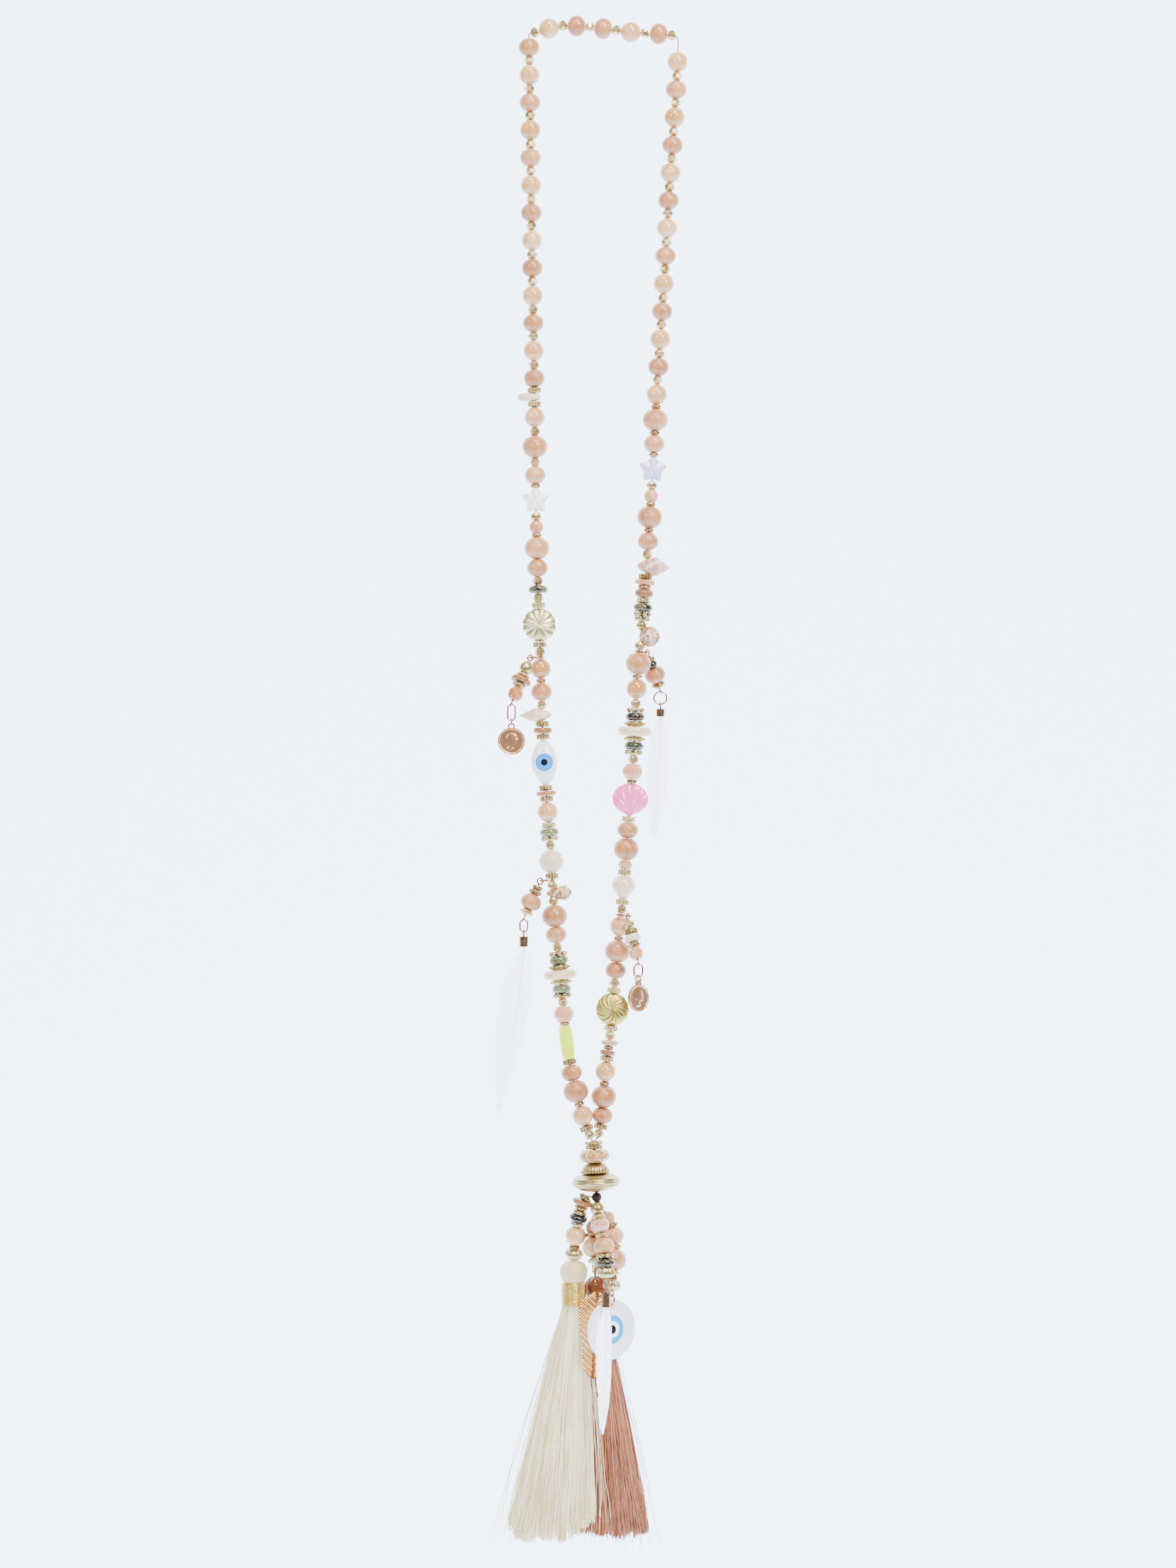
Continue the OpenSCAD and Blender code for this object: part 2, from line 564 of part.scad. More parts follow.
module eye_bead() {
  ball = 22;
  color("whitesmoke") at_seat(seat(left_seats, "eye"))
    intersection() {
      barrel(eye_w, eye_l, 1.1);
      for (y = [-1, 1]) translate([0, y * (ball - eye_t / 2), 0]) sphere(ball);
    }
}
module cotton_pearl() {
  color("linen") at_seat(seat(left_seats, "pearl")) barrel(pearl_d, length_of("pearl"), 1.5);
}
module cone_shell() {
  color("tan") at_seat(seat(left_seats, "cone"))
    difference() {
      shell([[-2.5, 0.6], [-1.2, 1.3], [0, 1.85], [2, 2.5], [4, 2.95], [5.2, 3.05],
        [6, 2.3], [6.8, 1.3], [7.5, 0.4]], 3, 0.05);
      nest(length_of("cone"), gold_d, gold_d);
    }
}
module howlite_left() color("ivory") at_seat(seat(left_seats, "howlite")) bead("howlite");
module howlite_right() color("ivory") at_seat(seat(right_seats, "howlite")) bead("howlite");
module yellow_tube() {
  color("yellow") at_seat(seat(left_seats, "tube")) barrel(tube_d, tube_l, tube_d * 0.42);
}
module whelk_shell() {
  color("mistyrose") at_seat(seat(right_seats, "whelk"))
    difference() {
      shell([[-3.4, 0.7], [-2, 1.9], [0, 2.75], [1.8, 3.6], [3.4, 3.9], [4.8, 3.5],
        [6.2, 2.5], [7.6, 1.5], [8.8, 0.7], [9.3, 0.3]], 4, 0.07);
      nest(length_of("whelk"), gold_d, grain_d);
    }
}
module ribbed_shell() {
  color("burlywood") at_seat(seat(right_seats, "ribbed"))
    difference() {
      translate([3.6, 0, 0]) rotate([0, 0, -90])
        shell([[-2.4, 1.5], [-1.6, 3.3], [0, 4.2], [1.3, 3.7], [2.4, 2.6], [3.3, 1.4], [3.9, 0.5]],
          3, 0.06);
      nest(length_of("ribbed"), gold_d, gold_d);
    }
}
module scallop_bead() {
  half_w = scallop_w / 2;
  half_h = scallop_h * 0.477;
  pole = scallop_h * 0.344;
  rise = scallop_h * 0.375;
  function fan(a) = let (c = pow(sin(a) / half_w, 2) + pow(cos(a) / half_h, 2),
    b = rise * cos(a) / pow(half_h, 2)) (b + sqrt(b * b + c * (1 - pow(rise / half_h, 2)))) / c;
  color("pink") at_seat(seat(right_seats, "scallop"))
    translate([0, 0, -pole])
      relief(function (a) max(fan(a), scallop_h / 2 - pole), scallop_t, 18, 0.14, 0, 72) bore();
}
module howlite_nugget() {
  color("ivory") at_seat(seat(right_seats, "nugget")) barrel(nugget_d, nugget_l, 0.66);
}
module swirl_bead() {
  color("goldenrod") at_seat(seat(right_seats, "swirl"))
    relief(function (a) swirl_d / 2 * (0.965 + 0.035 * abs(sin(7 * a))), swirl_t, 14, 0.13, 50) bore();
}

// Join
module at_join(s) translate(down(s)) lean(-join_lean) children();
module join_spacer() {
  color("gold") at_join(join_spacer_s)
    difference() {
      intersection() {
        linear_extrude(join_spacer_h, center = true) lobes(join_spacer_d, 12, 0.95);
        union() for (s = [-1, 1]) translate([0, 0, s * join_spacer_h / 4])
          barrel(join_spacer_d, join_spacer_h / 2 + 0.01, join_spacer_d * 0.36);
      }
      bore(9, twin_bore_d);
    }
}
module join_stone() {
  color("bisque") at_join(join_stone_s)
    barrel(join_stone_d, join_stone_h, join_stone_d * 0.27, twin_bore_d);
}
module dome_cap() {
  h = twin_bore_d / 2;
  color("goldenrod") at_join(cap_s)
    rotate_extrude()
      polygon([for (p = [[0, 0.62], [4.2, 0.2], [5.4, 0], [5.75, 0.3], [5.75, 0.9], [5.4, 1.3],
        [5, 2.1], [4.1, 3.1], [3, 3.8], [2, 4.2], [0, 4.2]])
        [max(h, p[0] * cap_d / 11.5), (p[1] - 2.1) * cap_h / 4.2]]);
}
module saucer_bead() {
  h = twin_bore_d / 2;
  color("goldenrod") at_join(saucer_s)
    rotate_extrude()
      polygon([[h, -saucer_h * 0.492], for (a = [-80:4:80])
        let (ripple = 1 - 0.035 * (1 - abs(cos(a * 7.5))))
        [saucer_d / 2 * cos(a) * ripple, saucer_h / 2 * sin(a) * ripple], [h, saucer_h * 0.492]]);
}

module cluster_wood() color("burlywood") field(cluster_seats, "wood");
module cluster_stones() {
  color("bisque") {
    field(cluster_seats, "jade");
    field(cluster_seats, "stone");
  }
}
module cluster_gold() {
  color("gold") {
    field(cluster_seats, "gold");
    field(cluster_seats, "spacer");
  }
}

// Tassel: a round head, a neck for the band and a skirt in locks
module tassel(top, drift, seed, l = skirt_l) {
  n = 56;
  locks = 14;
  neck = band_d / 2 - 0.85;
  ragged = rands(-3, 3, locks, seed);
  skirt_top = head_h + band_h;
  // depth, half width, half depth, relief of the locks, share of the drift
  table = concat([[0, 1.4, 1.4, 0, 0], [0.5, 2.9, 2.9, 0, 0],
    [head_h * 0.22, head_d * 0.42, head_d * 0.42, 0.01, 0],
    [head_h * 0.5, head_d / 2, head_d / 2, 0.015, 0],
    [head_h * 0.8, head_d * 0.45, head_d * 0.45, 0.015, 0], [head_h, neck, neck, 0, 0],
    [skirt_top, neck, neck, 0, 0]],
    [for (f = [0.04, 0.14, 0.28, 0.44, 0.6, 0.76, 0.9, 1]) [skirt_top + f * l,
      neck + (hem_w / 2 - neck) * (1 - pow(1 - f, 1.5)) * (0.55 + 0.45 * f),
      neck + (hem_depth / 2 - neck) * f, 0.02 + 0.05 * f, f]]);
  function ring(row, shrink = 1, rise = 0) = [for (k = [0:n - 1])
    let (a = k * 360 / n, hem = row[4] == 1 && shrink == 1 ? ragged[floor(k * locks / n)] : 0,
      q = shrink * (1 - row[3] * (1 - cos(locks * a))))
    top + [row[1] * q * cos(a), row[2] * q * sin(a), hem + rise - row[0]] + drift * row[4]];
  last = table[len(table) - 1];
  difference() {
    loft(concat([for (row = table) ring(row)], [ring(last, 0.3, 7)]));
    translate(top) cylinder(d = thread_d + 0.1, h = 9, center = true, $fn = 16);
  }
}
// Band of wound thread round a tassel's neck
module band(top) {
  inner = band_d / 2 - 0.82;
  outer = band_d / 2;
  translate(top - [0, 0, head_h + band_h])
    rotate_extrude()
      polygon(concat([[inner, 0.1], [outer - 0.2, 0.1]],
        [for (z = [0.3:0.4:band_h - 0.2]) [outer - 0.16 * abs(cos(z * 225)), z]],
        [[outer - 0.2, band_h - 0.1], [inner, band_h - 0.1]]));
}
head_gap = 0.7;
cream_top = foot(cream_track) - [0, 0, head_gap];
peach_top = foot(peach_track) - [0, 0, head_gap];
module cream_tassel() color("cornsilk") tassel(cream_top, [-8.6, 0.4, 0], 3);
module cream_band() color("gold") band(cream_top);
module peach_tassel() color("sandybrown") tassel(peach_top, [3.4, 3.6, 0], 8, skirt_l - 5);
module peach_band() color("goldenrod") band(peach_top);

// Feather: depth, edge on the left, edge on the right, drift of the quill
module feather(top, table) {
  t = feather_t / 2;
  translate(top)
    loft([for (row = table) let (x = row[3], z = -row[0])
      [[x - row[1], 0.16, z], [x - row[1], -0.16, z], [x, -t, z], [x + row[2], -0.16, z],
        [x + row[2], 0.16, z], [x, t, z]]]);
}
// Crimp with an eye on top: the eye stands across the piece, the quill sits in the tube
crimp_d = 3.3;
module crimp(eye, l) {
  translate(eye) {
    difference() {
      translate([0, 0, -1.3 - l]) cylinder(d = crimp_d, h = l);
      translate([0, 0, -1.6 - l]) cylinder(d = 2.1, h = l - 0.6);
    }
    rotate(90) loop(1.2, pin_wire);
  }
}
QUILL = [[0, 0.5, 0.5, 0], [2.6, 0.5, 0.5, 0]];
front_eye = foot(front_track) - [0, 0, front_drop + 2 * eye_r + 0.5];
front_crimp_l = 5.4;
module front_crimp() color("rosybrown") crimp(front_eye, front_crimp_l);
module front_feather() {
  color("whitesmoke") feather(front_eye - [0, 0, front_crimp_l - 0.6],
    concat(QUILL, [[5, 1.6, 1.6, 0.1], [10, 3.2, 2.2, 0], [16, 3.7, 2.2, 0], [24, 3.8, 2.1, 0],
    [31, 3.5, 2.1, -0.2], [38, 2.9, 1.8, -0.4], [44, 2.1, 1.3, -0.8], [49, 1.1, 0.7, -1.2],
    [52, 0.2, 0.2, -1.3]]));
}

// Rings that carry the two charms: the leaf's stands across it, and so does the disc's
leaf_link = [3.9, 6.6];
disc_link = 4.4;
disc_turn = 40;
function linked(t, h) = foot(t)
  - [0, 0, 0.5 + 2 * eye_r + h - ring_wire - (ring_wire + thread_d) / 2 - 0.1];
leaf_pivot = linked(leaf_track, leaf_link[1]);
disc_pivot = linked(disc_track, disc_link);
module cluster_rings() {
  color("rosybrown") {
    translate(leaf_pivot + [0, 0, (leaf_link[1] - ring_wire) / 2])
      rotate(90) oval(leaf_link[0], leaf_link[1], ring_wire);
    translate(disc_pivot + [0, 0, (disc_link - ring_wire) / 2])
      rotate(90 + disc_turn) loop((disc_link - ring_wire) / 2, ring_wire);
  }
}
// Feather charm: a plate with a raised rib and slanting barbs, hung by an eye
leaf_shift = 0.91;
leaf_hole_r = 0.85;
LEAF_EDGE = [[-0.95, 0.7, 0.7, -leaf_shift], [-0.4, 1.4, 1.4, -leaf_shift],
  [0.8, 1.75, 1.75, -leaf_shift], [2, 1.4, 1.4, -leaf_shift], [3.2, 0.9, 0.9, -0.7],
  [4.4, 1.1, 1.1, -0.3], [5.8, 3.4, 3.2, 0], [7.6, 6.4, 5.2, -0.1],
  [10.2, 6.3, 6, -0.2], [11, 6.9, 6.1, -0.3], [14, 6.8, 6.2, -0.4], [18, 6.3, 6.1, -0.6],
  [22.3, 5.5, 5.9, -0.8], [25.2, 4.7, 5.4, -1], [25.9, 5.1, 5, -1], [29.3, 4.9, 3.9, -1.2],
  [32.6, 4.2, 2.9, -1.4], [35.4, 3.3, 2.1, -1.6], [37.4, 2.1, 1.2, -1.8], [38.3, 0.7, 0.4, -1.9]];
module leaf_charm() {
  columns = [-1, -0.66, -0.33, 0, 0.33, 0.66, 1];
  slices = 2 * len(LEAF_EDGE) - 2;
  function row(i) = let (k = i / 2) i % 2 == 0 ? LEAF_EDGE[k]
    : (LEAF_EDGE[k - 0.5] + LEAF_EDGE[k + 0.5]) / 2;
  function barb(d, u) = leaf_t / 2 - (d < 3.5 ? 0.1 : u == 0 ? 0
    : 0.14 + 0.14 * cos((d + abs(u) * 4) * 150));
  function column(r, u, s) = [r[3] + leaf_shift + u * (u < 0 ? r[1] : r[2]), s * barb(r[0], u),
    0.6 - r[0]];
  color("gold") translate(leaf_pivot)
    difference() {
      loft([for (i = [0:slices]) let (r = row(i))
        concat([for (u = columns) column(r, u, -1)], [for (u = back(columns)) column(r, u, 1)])]);
      translate([0, 0, -0.2]) rotate([90, 0, 0]) cylinder(r = leaf_hole_r, h = 9, center = true);
    }
}
module eye_disc() {
  hole = 1.2;
  drop = 0.45;
  color("whitesmoke") translate(disc_pivot) rotate(disc_turn)
    difference() {
      translate([0, 0, hole + 1.2 - drop - shell_disc_d / 2]) rotate([90, 0, 0])
        rotate_extrude() polygon([[0, -shell_disc_t / 2], [shell_disc_d / 2 - 0.5, -shell_disc_t / 2],
          [shell_disc_d / 2, -shell_disc_t / 2 + 0.5], [shell_disc_d / 2, shell_disc_t / 2 - 0.5],
          [shell_disc_d / 2 - 0.5, shell_disc_t / 2], [0, shell_disc_t / 2]]);
      translate([0, 0, -drop]) rotate([90, 0, 0]) cylinder(r = hole, h = 9, center = true);
    }
}

// Side drops: a jump ring round the thread, a pin with two eyes and its beads, then the charm
pin_r = 1.2;
eye_slack = pin_r - pin_wire / 2 - jump_wire / 2 - 0.1;
jump_r = (jump_d - jump_wire) / 2;
jump_off = jump_r - jump_wire / 2 - thread_d / 2 - 0.15;
first_bead = pin_r + pin_wire / 2 + 0.6;
function drop_seat(d) = seat(d[0] == "left" ? left_seats : right_seats, "link", d[1]);
function flat(v) = [v[0], v[1], 0] / norm([v[0], v[1]]);
function way(d) = d[2] / norm(d[2]);
function upper_eye(d) = drop_seat(d)[1] + flat(d[2]) * (jump_off + jump_r) + way(d) * eye_slack;
function pin_l(d) = first_bead + needed(d[3]) + pin_r + pin_wire / 2 + 0.1;
function lower_eye(d) = upper_eye(d) + way(d) * pin_l(d);
function along(beads, i) = i == 0 ? 0 : along(beads, i - 1) + length_of(beads[i - 1]) + bead_gap;
function pin_seats(d) = [for (i = [0:len(d[3]) - 1]) [d[3][i],
  upper_eye(d) + way(d) * (first_bead + along(d[3], i) + length_of(d[3][i]) / 2), -d[2]]];
drop_seats = [for (d = DROPS, s = pin_seats(d)) s];
module pin(d) {
  turn = atan2(d[2][1], d[2][0]);
  tilt = acos(-way(d)[2]);
  translate(upper_eye(d)) rotate([0, -tilt, turn]) {
    loop(pin_r, pin_wire);
    translate([0, 0, pin_r - pin_l(d)]) cylinder(d = pin_wire, h = pin_l(d) - 2 * pin_r, $fn = 16);
    translate([0, 0, -pin_l(d)]) rotate(90 - turn) loop(pin_r, pin_wire);
  }
}
module drop_pins() color("goldenrod") for (d = DROPS) pin(d);
module drop_wood() color("burlywood") field(drop_seats, "wood");
module drop_stones() color("lightsalmon") field(drop_seats, "stone");
module drop_gold() {
  color("gold") {
    field(drop_seats, "gold");
    field(drop_seats, "spacer");
  }
}
// Width and height of the link below each pin, and whether a small ring follows for a coin
LINKS = [[3.5, 6.8], [5.6, 5.6], [3.5, 5.4], [3.9, 5.8]];
link_grip = 0.38;
function link_foot(i) = lower_eye(DROPS[i]) - [0, 0, link_grip + LINKS[i][1] - pin_wire];
coin_ring_r = 1.4;
function coin_ring_at(i) = link_foot(i) + [0, 0, pin_wire + 0.1 - coin_ring_r];
function coin_hole_at(i) = coin_ring_at(i) - [0, 0, coin_ring_r + 0.15];
COIN_TURN = [0, 44];
module drop_rings() {
  color("goldenrod") {
    for (d = DROPS) translate(drop_seat(d)[1]) lean(drop_seat(d)[2])
      translate(flat(d[2]) * jump_off) rotate([90, 0, 0]) loop(jump_r, jump_wire);
    for (i = [0:3]) translate(link_foot(i) + [0, 0, (LINKS[i][1] - pin_wire) / 2])
      if (LINKS[i][0] == LINKS[i][1]) loop((LINKS[i][0] - pin_wire) / 2, pin_wire);
      else oval(LINKS[i][0], LINKS[i][1], pin_wire);
    translate(coin_ring_at(0)) rotate(90) loop(coin_ring_r, pin_wire);
    translate(coin_ring_at(3)) rotate(90 + COIN_TURN[1]) loop(coin_ring_r, pin_wire);
  }
}
module coin(hole_at, turn) {
  hole_r = 0.75;
  translate(hole_at) rotate(turn) rotate([90, 0, 0])
    difference() {
      union() {
        translate([0, -coin_d / 2 - 0.5]) cylinder(d = coin_d, h = coin_t, center = true, $fn = 64);
        cylinder(r = hole_r + 0.6, h = coin_t - 0.2, center = true);
      }
      cylinder(r = hole_r, h = 9, center = true);
      for (side = [-1, 1]) translate([0, -coin_d / 2 - 0.5, side * coin_t / 2])
        difference() {
          cylinder(d = coin_d - 1.4, h = 0.5, center = true);
          cylinder(d = coin_d * 0.42, h = 3, center = true);
        }
    }
}
module coin_left() color("rosybrown") coin(coin_hole_at(0), COIN_TURN[0]);
module coin_right() color("goldenrod") coin(coin_hole_at(3), COIN_TURN[1]);
function crimp_eye(i) = link_foot(i) - [0, 0, pin_r - pin_wire - 0.1];
module crimp_left() color("goldenrod") crimp(crimp_eye(2), 3.9);
module crimp_right() color("goldenrod") crimp(crimp_eye(1), 3);
module feather_left() {
  color("whitesmoke") feather(crimp_eye(2) - [0, 0, 3.3],
    concat(QUILL, [[5, 1.6, 1.8, 0], [9, 4, 3.6, -0.5], [14, 6.2, 4.6, -1], [20, 7.4, 5, -1.8],
    [27, 7.6, 5, -2.9], [34, 7.2, 4.8, -4], [41, 6.2, 4.3, -5.2], [48, 4.9, 3.6, -6.5],
    [54, 3.7, 2.7, -7.6], [60, 2.3, 1.7, -8.8], [65, 0.9, 0.8, -9.8], [67.5, 0.2, 0.2, -10.2]]));
}
module feather_right() {
  color("antiquewhite") feather(crimp_eye(1) - [0, 0, 2.4],
    concat(QUILL, [[4.6, 1.8, 1.7, 0], [8, 3.4, 3, -0.2], [13, 4.2, 3.9, -0.3],
    [20, 4.4, 4.2, -0.6], [28, 4.3, 4, -1], [35, 3.7, 3.4, -1.4], [41, 2.9, 2.5, -1.8],
    [46, 1.8, 1.5, -2.2], [49, 0.8, 0.7, -2.4], [50.5, 0.2, 0.2, -2.5]]));
}

thread();
cluster_threads();
knot();
wood_beads_left();
wood_beads_right();
jade_beads_left();
jade_beads_right();
gold_beads_left();
gold_beads_right();
spacers_left();
spacers_right();
stones_left();
stones_right();
petal_left();
star_left();
flower_bead();
spiral_shell();
eye_bead();
cotton_pearl();
cone_shell();
howlite_left();
yellow_tube();
star_right();
whelk_shell();
ribbed_shell();
howlite_right();
scallop_bead();
howlite_nugget();
swirl_bead();
join_spacer();
join_stone();
dome_cap();
saucer_bead();
cluster_wood();
cluster_stones();
cluster_gold();
cluster_rings();
cream_tassel();
cream_band();
peach_tassel();
peach_band();
front_feather();
front_crimp();
leaf_charm();
eye_disc();
drop_pins();
drop_rings();
drop_wood();
drop_stones();
drop_gold();
coin_left();
coin_right();
feather_left();
feather_right();
crimp_left();
crimp_right();
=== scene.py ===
# Tassel necklace: beads, tassels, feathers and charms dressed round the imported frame.
import json
import math

import bmesh
import bpy
import numpy as np
from mathutils import Euler, Matrix, Vector

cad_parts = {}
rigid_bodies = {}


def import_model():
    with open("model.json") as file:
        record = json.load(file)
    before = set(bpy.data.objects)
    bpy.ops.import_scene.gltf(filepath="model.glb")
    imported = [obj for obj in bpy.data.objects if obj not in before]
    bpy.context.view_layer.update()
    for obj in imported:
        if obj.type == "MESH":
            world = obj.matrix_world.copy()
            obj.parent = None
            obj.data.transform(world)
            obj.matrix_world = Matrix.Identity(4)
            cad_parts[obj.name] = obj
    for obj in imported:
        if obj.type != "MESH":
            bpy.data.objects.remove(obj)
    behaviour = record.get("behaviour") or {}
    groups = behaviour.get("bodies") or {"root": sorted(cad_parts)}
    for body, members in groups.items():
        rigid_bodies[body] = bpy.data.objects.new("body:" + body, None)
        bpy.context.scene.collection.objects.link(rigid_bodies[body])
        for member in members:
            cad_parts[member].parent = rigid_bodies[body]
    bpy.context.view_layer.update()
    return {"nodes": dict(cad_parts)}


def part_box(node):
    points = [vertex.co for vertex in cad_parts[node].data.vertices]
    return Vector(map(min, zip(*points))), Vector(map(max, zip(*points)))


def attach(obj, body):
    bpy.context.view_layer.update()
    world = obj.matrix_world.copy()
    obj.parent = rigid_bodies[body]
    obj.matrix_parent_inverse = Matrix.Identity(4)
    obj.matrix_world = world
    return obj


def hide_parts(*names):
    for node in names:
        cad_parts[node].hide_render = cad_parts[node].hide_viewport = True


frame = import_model()
mm = 0.001
rng = np.random.default_rng(11)
print("frame loaded")

# The camera stands where the photo was taken, straight in front.
view = dict(place=(-0.0065, -1.5, -0.2947), lens=87.9)
lens = bpy.data.cameras.new("camera")
lens.lens = view["lens"]
lens.sensor_fit = "VERTICAL"
lens.sensor_height = 36
lens.clip_end = 20
camera = bpy.data.objects.new("camera", lens)
bpy.context.scene.collection.objects.link(camera)
camera.location = view["place"]
camera.rotation_euler = (math.pi / 2, 0, 0)
bpy.context.scene.camera = camera


# Plain mesh from points in millimetres; "local" is what the finishes read
def makeMesh(name, verts, faces, smooth=True, local=None):
    verts = np.asarray(verts, float)
    mesh = bpy.data.meshes.new(name)
    mesh.from_pydata((verts * mm).tolist(), [], [[int(i) for i in f] for f in faces])
    mesh.polygons.foreach_set("use_smooth", [smooth] * len(mesh.polygons))
    own = verts if local is None else np.asarray(local, float)
    mesh.attributes.new("local", "FLOAT_VECTOR", "POINT").data.foreach_set("vector", own.ravel())
    if len(mesh.polygons):
        work = bmesh.new()
        work.from_mesh(mesh)
        bmesh.ops.recalc_face_normals(work, faces=work.faces)
        work.to_mesh(mesh)
        work.free()
    return mesh


# Closed skin over rings; a cyclic one has no end caps
def loft(rings, cyclic=False):
    rings = [np.asarray(r, float) for r in rings]
    n, m = len(rings[0]), len(rings)
    faces = [
        (i * n + k, i * n + (k + 1) % n, (i + 1) % m * n + (k + 1) % n, (i + 1) % m * n + k)
        for i in range(m if cyclic else m - 1)
        for k in range(n)
    ]
    if not cyclic:
        faces += [tuple(range(n))[::-1], tuple(range((m - 1) * n, m * n))]
    return np.concatenate(rings), faces


# Bead turned round its bore: the section is a closed line of radius and height
def turned(section, sides=32, ripple=None):
    rings = []
    a = np.arange(sides) * 2 * math.pi / sides
    for r, z in section:
        q = r if ripple is None else r * ripple(a, z)
        rings.append(np.stack([q * np.cos(a), q * np.sin(a), np.full(sides, z)], 1))
    return loft(rings, cyclic=True)


# Section of a round bead, from the bore out and back, with a soft edge at the bore
def barrel(d, l, rim, hole=1.2, steps=12):
    inset = d / 2 - rim
    r = (inset ** 2 + l * l / 4) / (2 * inset)
    top = math.asin(min(1, l / 2 / r))
    arc = [(d / 2 - r + r * math.cos(a), r * math.sin(a)) for a in np.linspace(-top, top, steps + 1)]
    lip = min(0.25, max(0.02, rim - hole / 2) * 0.5)
    bore, foot = hole / 2, -l / 2
    ends = [(bore, foot + lip * 1.2), (bore + lip * 0.4, foot + lip * 0.3), (bore + lip, foot)]
    return ends + arc + [(r0, -z0) for r0, z0 in ends[::-1]]


# Soft dents, the same each run
def dented(verts, amount, size, seed):
    phase = np.random.default_rng(seed).uniform(0, 6.28, (3, 3))
    wave = np.sin(verts @ (np.eye(3) * 6.28 / size) + phase[0])
    crossing = np.sin(verts[:, [1, 2, 0]] * 4.4 / size + phase[1])
    return verts + amount * (wave * crossing)


# Where everything hangs: the routes and the order of the beads
mainRoutes = dict(
    left=[(-29.6, 0, -2.6), (-29.2, 0, -28), (-28.8, 0, -60), (-28.3, 0, -95), (-27.5, 0, -136),
          (-27, 0, -180), (-25.9, 0, -222), (-24.9, 0, -252), (-23.6, 0, -287), (-21.4, 0, -316),
          (-19.6, 0, -346), (-17, 0, -372), (-14.8, -0.2, -396), (-11.6, -1.1, -413), (-8.6, -1.6, -423.6),
          (-6.8, -1.4, -429.4), (-5.4, -1, -432.8)],
    right=[(28.7, 0, -7.8), (27.9, 0, -24), (26.8, 0, -41), (25.1, 0, -64), (23.8, 0, -88), (22.3, 0, -112),
           (20.4, 0, -141), (18.8, 0, -172), (16.8, 0, -202), (14.6, 0, -230), (12.5, 0, -256),
           (11.3, 0, -283), (8.9, 0, -314), (7, 0, -340), (4.4, 0, -366), (2.4, 0, -390), (0.2, 0.6, -407),
           (-0.3, 1.4, -418), (-0.9, 1.6, -424.6), (-1.7, 1.4, -429), (-2.7, 1, -432.6)],
    top=[(-28.9, 0, -0.6), (-24, 0, 0.6), (-17, 0, 2.4), (-10.3, 0, 2.3), (0, 0, 1.2), (10.6, 0, -0.4),
         (19, 0, -0.5), (28, 0, -1.6)],
)
bunchRoutes = dict(
    cream=[(-1.9, 0.2, -0.2), (-4.4, 0.3, 0.4), (-5.4, 0.5, -1.8), (-6.2, 0.8, -4.6), (-7.1, 1.3, -7.8),
           (-7.9, 2.2, -11.8), (-8.5, 3.4, -15.9), (-8.8, 4.8, -20.4), (-9, 6, -24.9)],
    front=[(0.1, -0.9, -1.9), (0.6, -3, -7), (1.6, -4.4, -12.4), (2.75, -6.1, -17.6), (3.3, -7.6, -22.6),
           (3.6, -8.8, -30.6)],
    leaf=[(-0.5, 1.4, -1.6), (-1.7, 4.6, -7), (-1.6, 4.8, -13.6), (-1.8, 1.8, -20.4), (-0.6, 0.4, -25.8)],
    disc=[(0.9, 1.3, -1.6), (4, 4, -8), (7, 4.8, -15), (7.2, 3.6, -20.5), (6.2, 2, -25.6), (6.2, -0.6, -31.6),
          (5.7, -2.4, -36.2)],
    peach=[(0, 1.9, -1), (0.4, 10, -4.6), (1, 11.9, -11), (1.3, 12, -21), (0.6, 12, -31.8)],
)
joinTop = np.array([-4.3, 0, -433.6])
joinLean = np.array([0.055, 0, -1])
twin = np.array([0.3, 0.45, 0])  # from the join's axis to each of its two threads
beadGap = 0.13
upper = ["wood", "gold", "jade", "gold"]  # what repeats above the first charms


def words(text):
    return [w.replace("_", " ") for w in text.split()]


strings = dict(
    left=upper * 6 + words(
        "wood grain petal grain jade gold big_wood gold wood ring star gold facet ring big_wood wood gold "
        "bronze gold grain flower grain gold link jade ring wood gold spiral grain slice grain eye grain "
        "disc grain jade grain rondelle daisy gold pearl grain link gold cone gold big_wood low_wood gold "
        "daisy rondelle beaded howlite beaded rondelle daisy gold big_facet ring tube grain low_wood "
        "big_wood ring jade grain gold"),
    right=["jade", "gold"] + upper * 5 + words(
        "wood gold jade ring big_wood ring wood ring star gold facet ring big_wood ring wood gold whelk "
        "grain disc flat_gold thick_disc grain bronze daisy small_daisy gold ribbed gold link big_wood "
        "ring jade gold daisy rondelle beaded howlite beaded rondelle daisy gold big_facet ring scallop "
        "grain low_wood big_wood low_facet grain nugget grain gold link jade ring big_wood low_wood gold "
        "grain swirl grain gold chip ring chip grain jade ring big_wood low_wood grain gold"),
    top=words("gold jade gold wood gold wood gold jade gold wood gold"),
    cream=words("seed disc seed flat_gold dark seed jade ring melon"),
    front=words("round_gold seed pebble seed low_wood daisy rondelle melon"),
    leaf=words("facet flat_gold jade seed"),
    disc=words("facet seed big_facet seed big_wood seed ring melon"),
    peach=words("jade gold wood gold seed"),
)
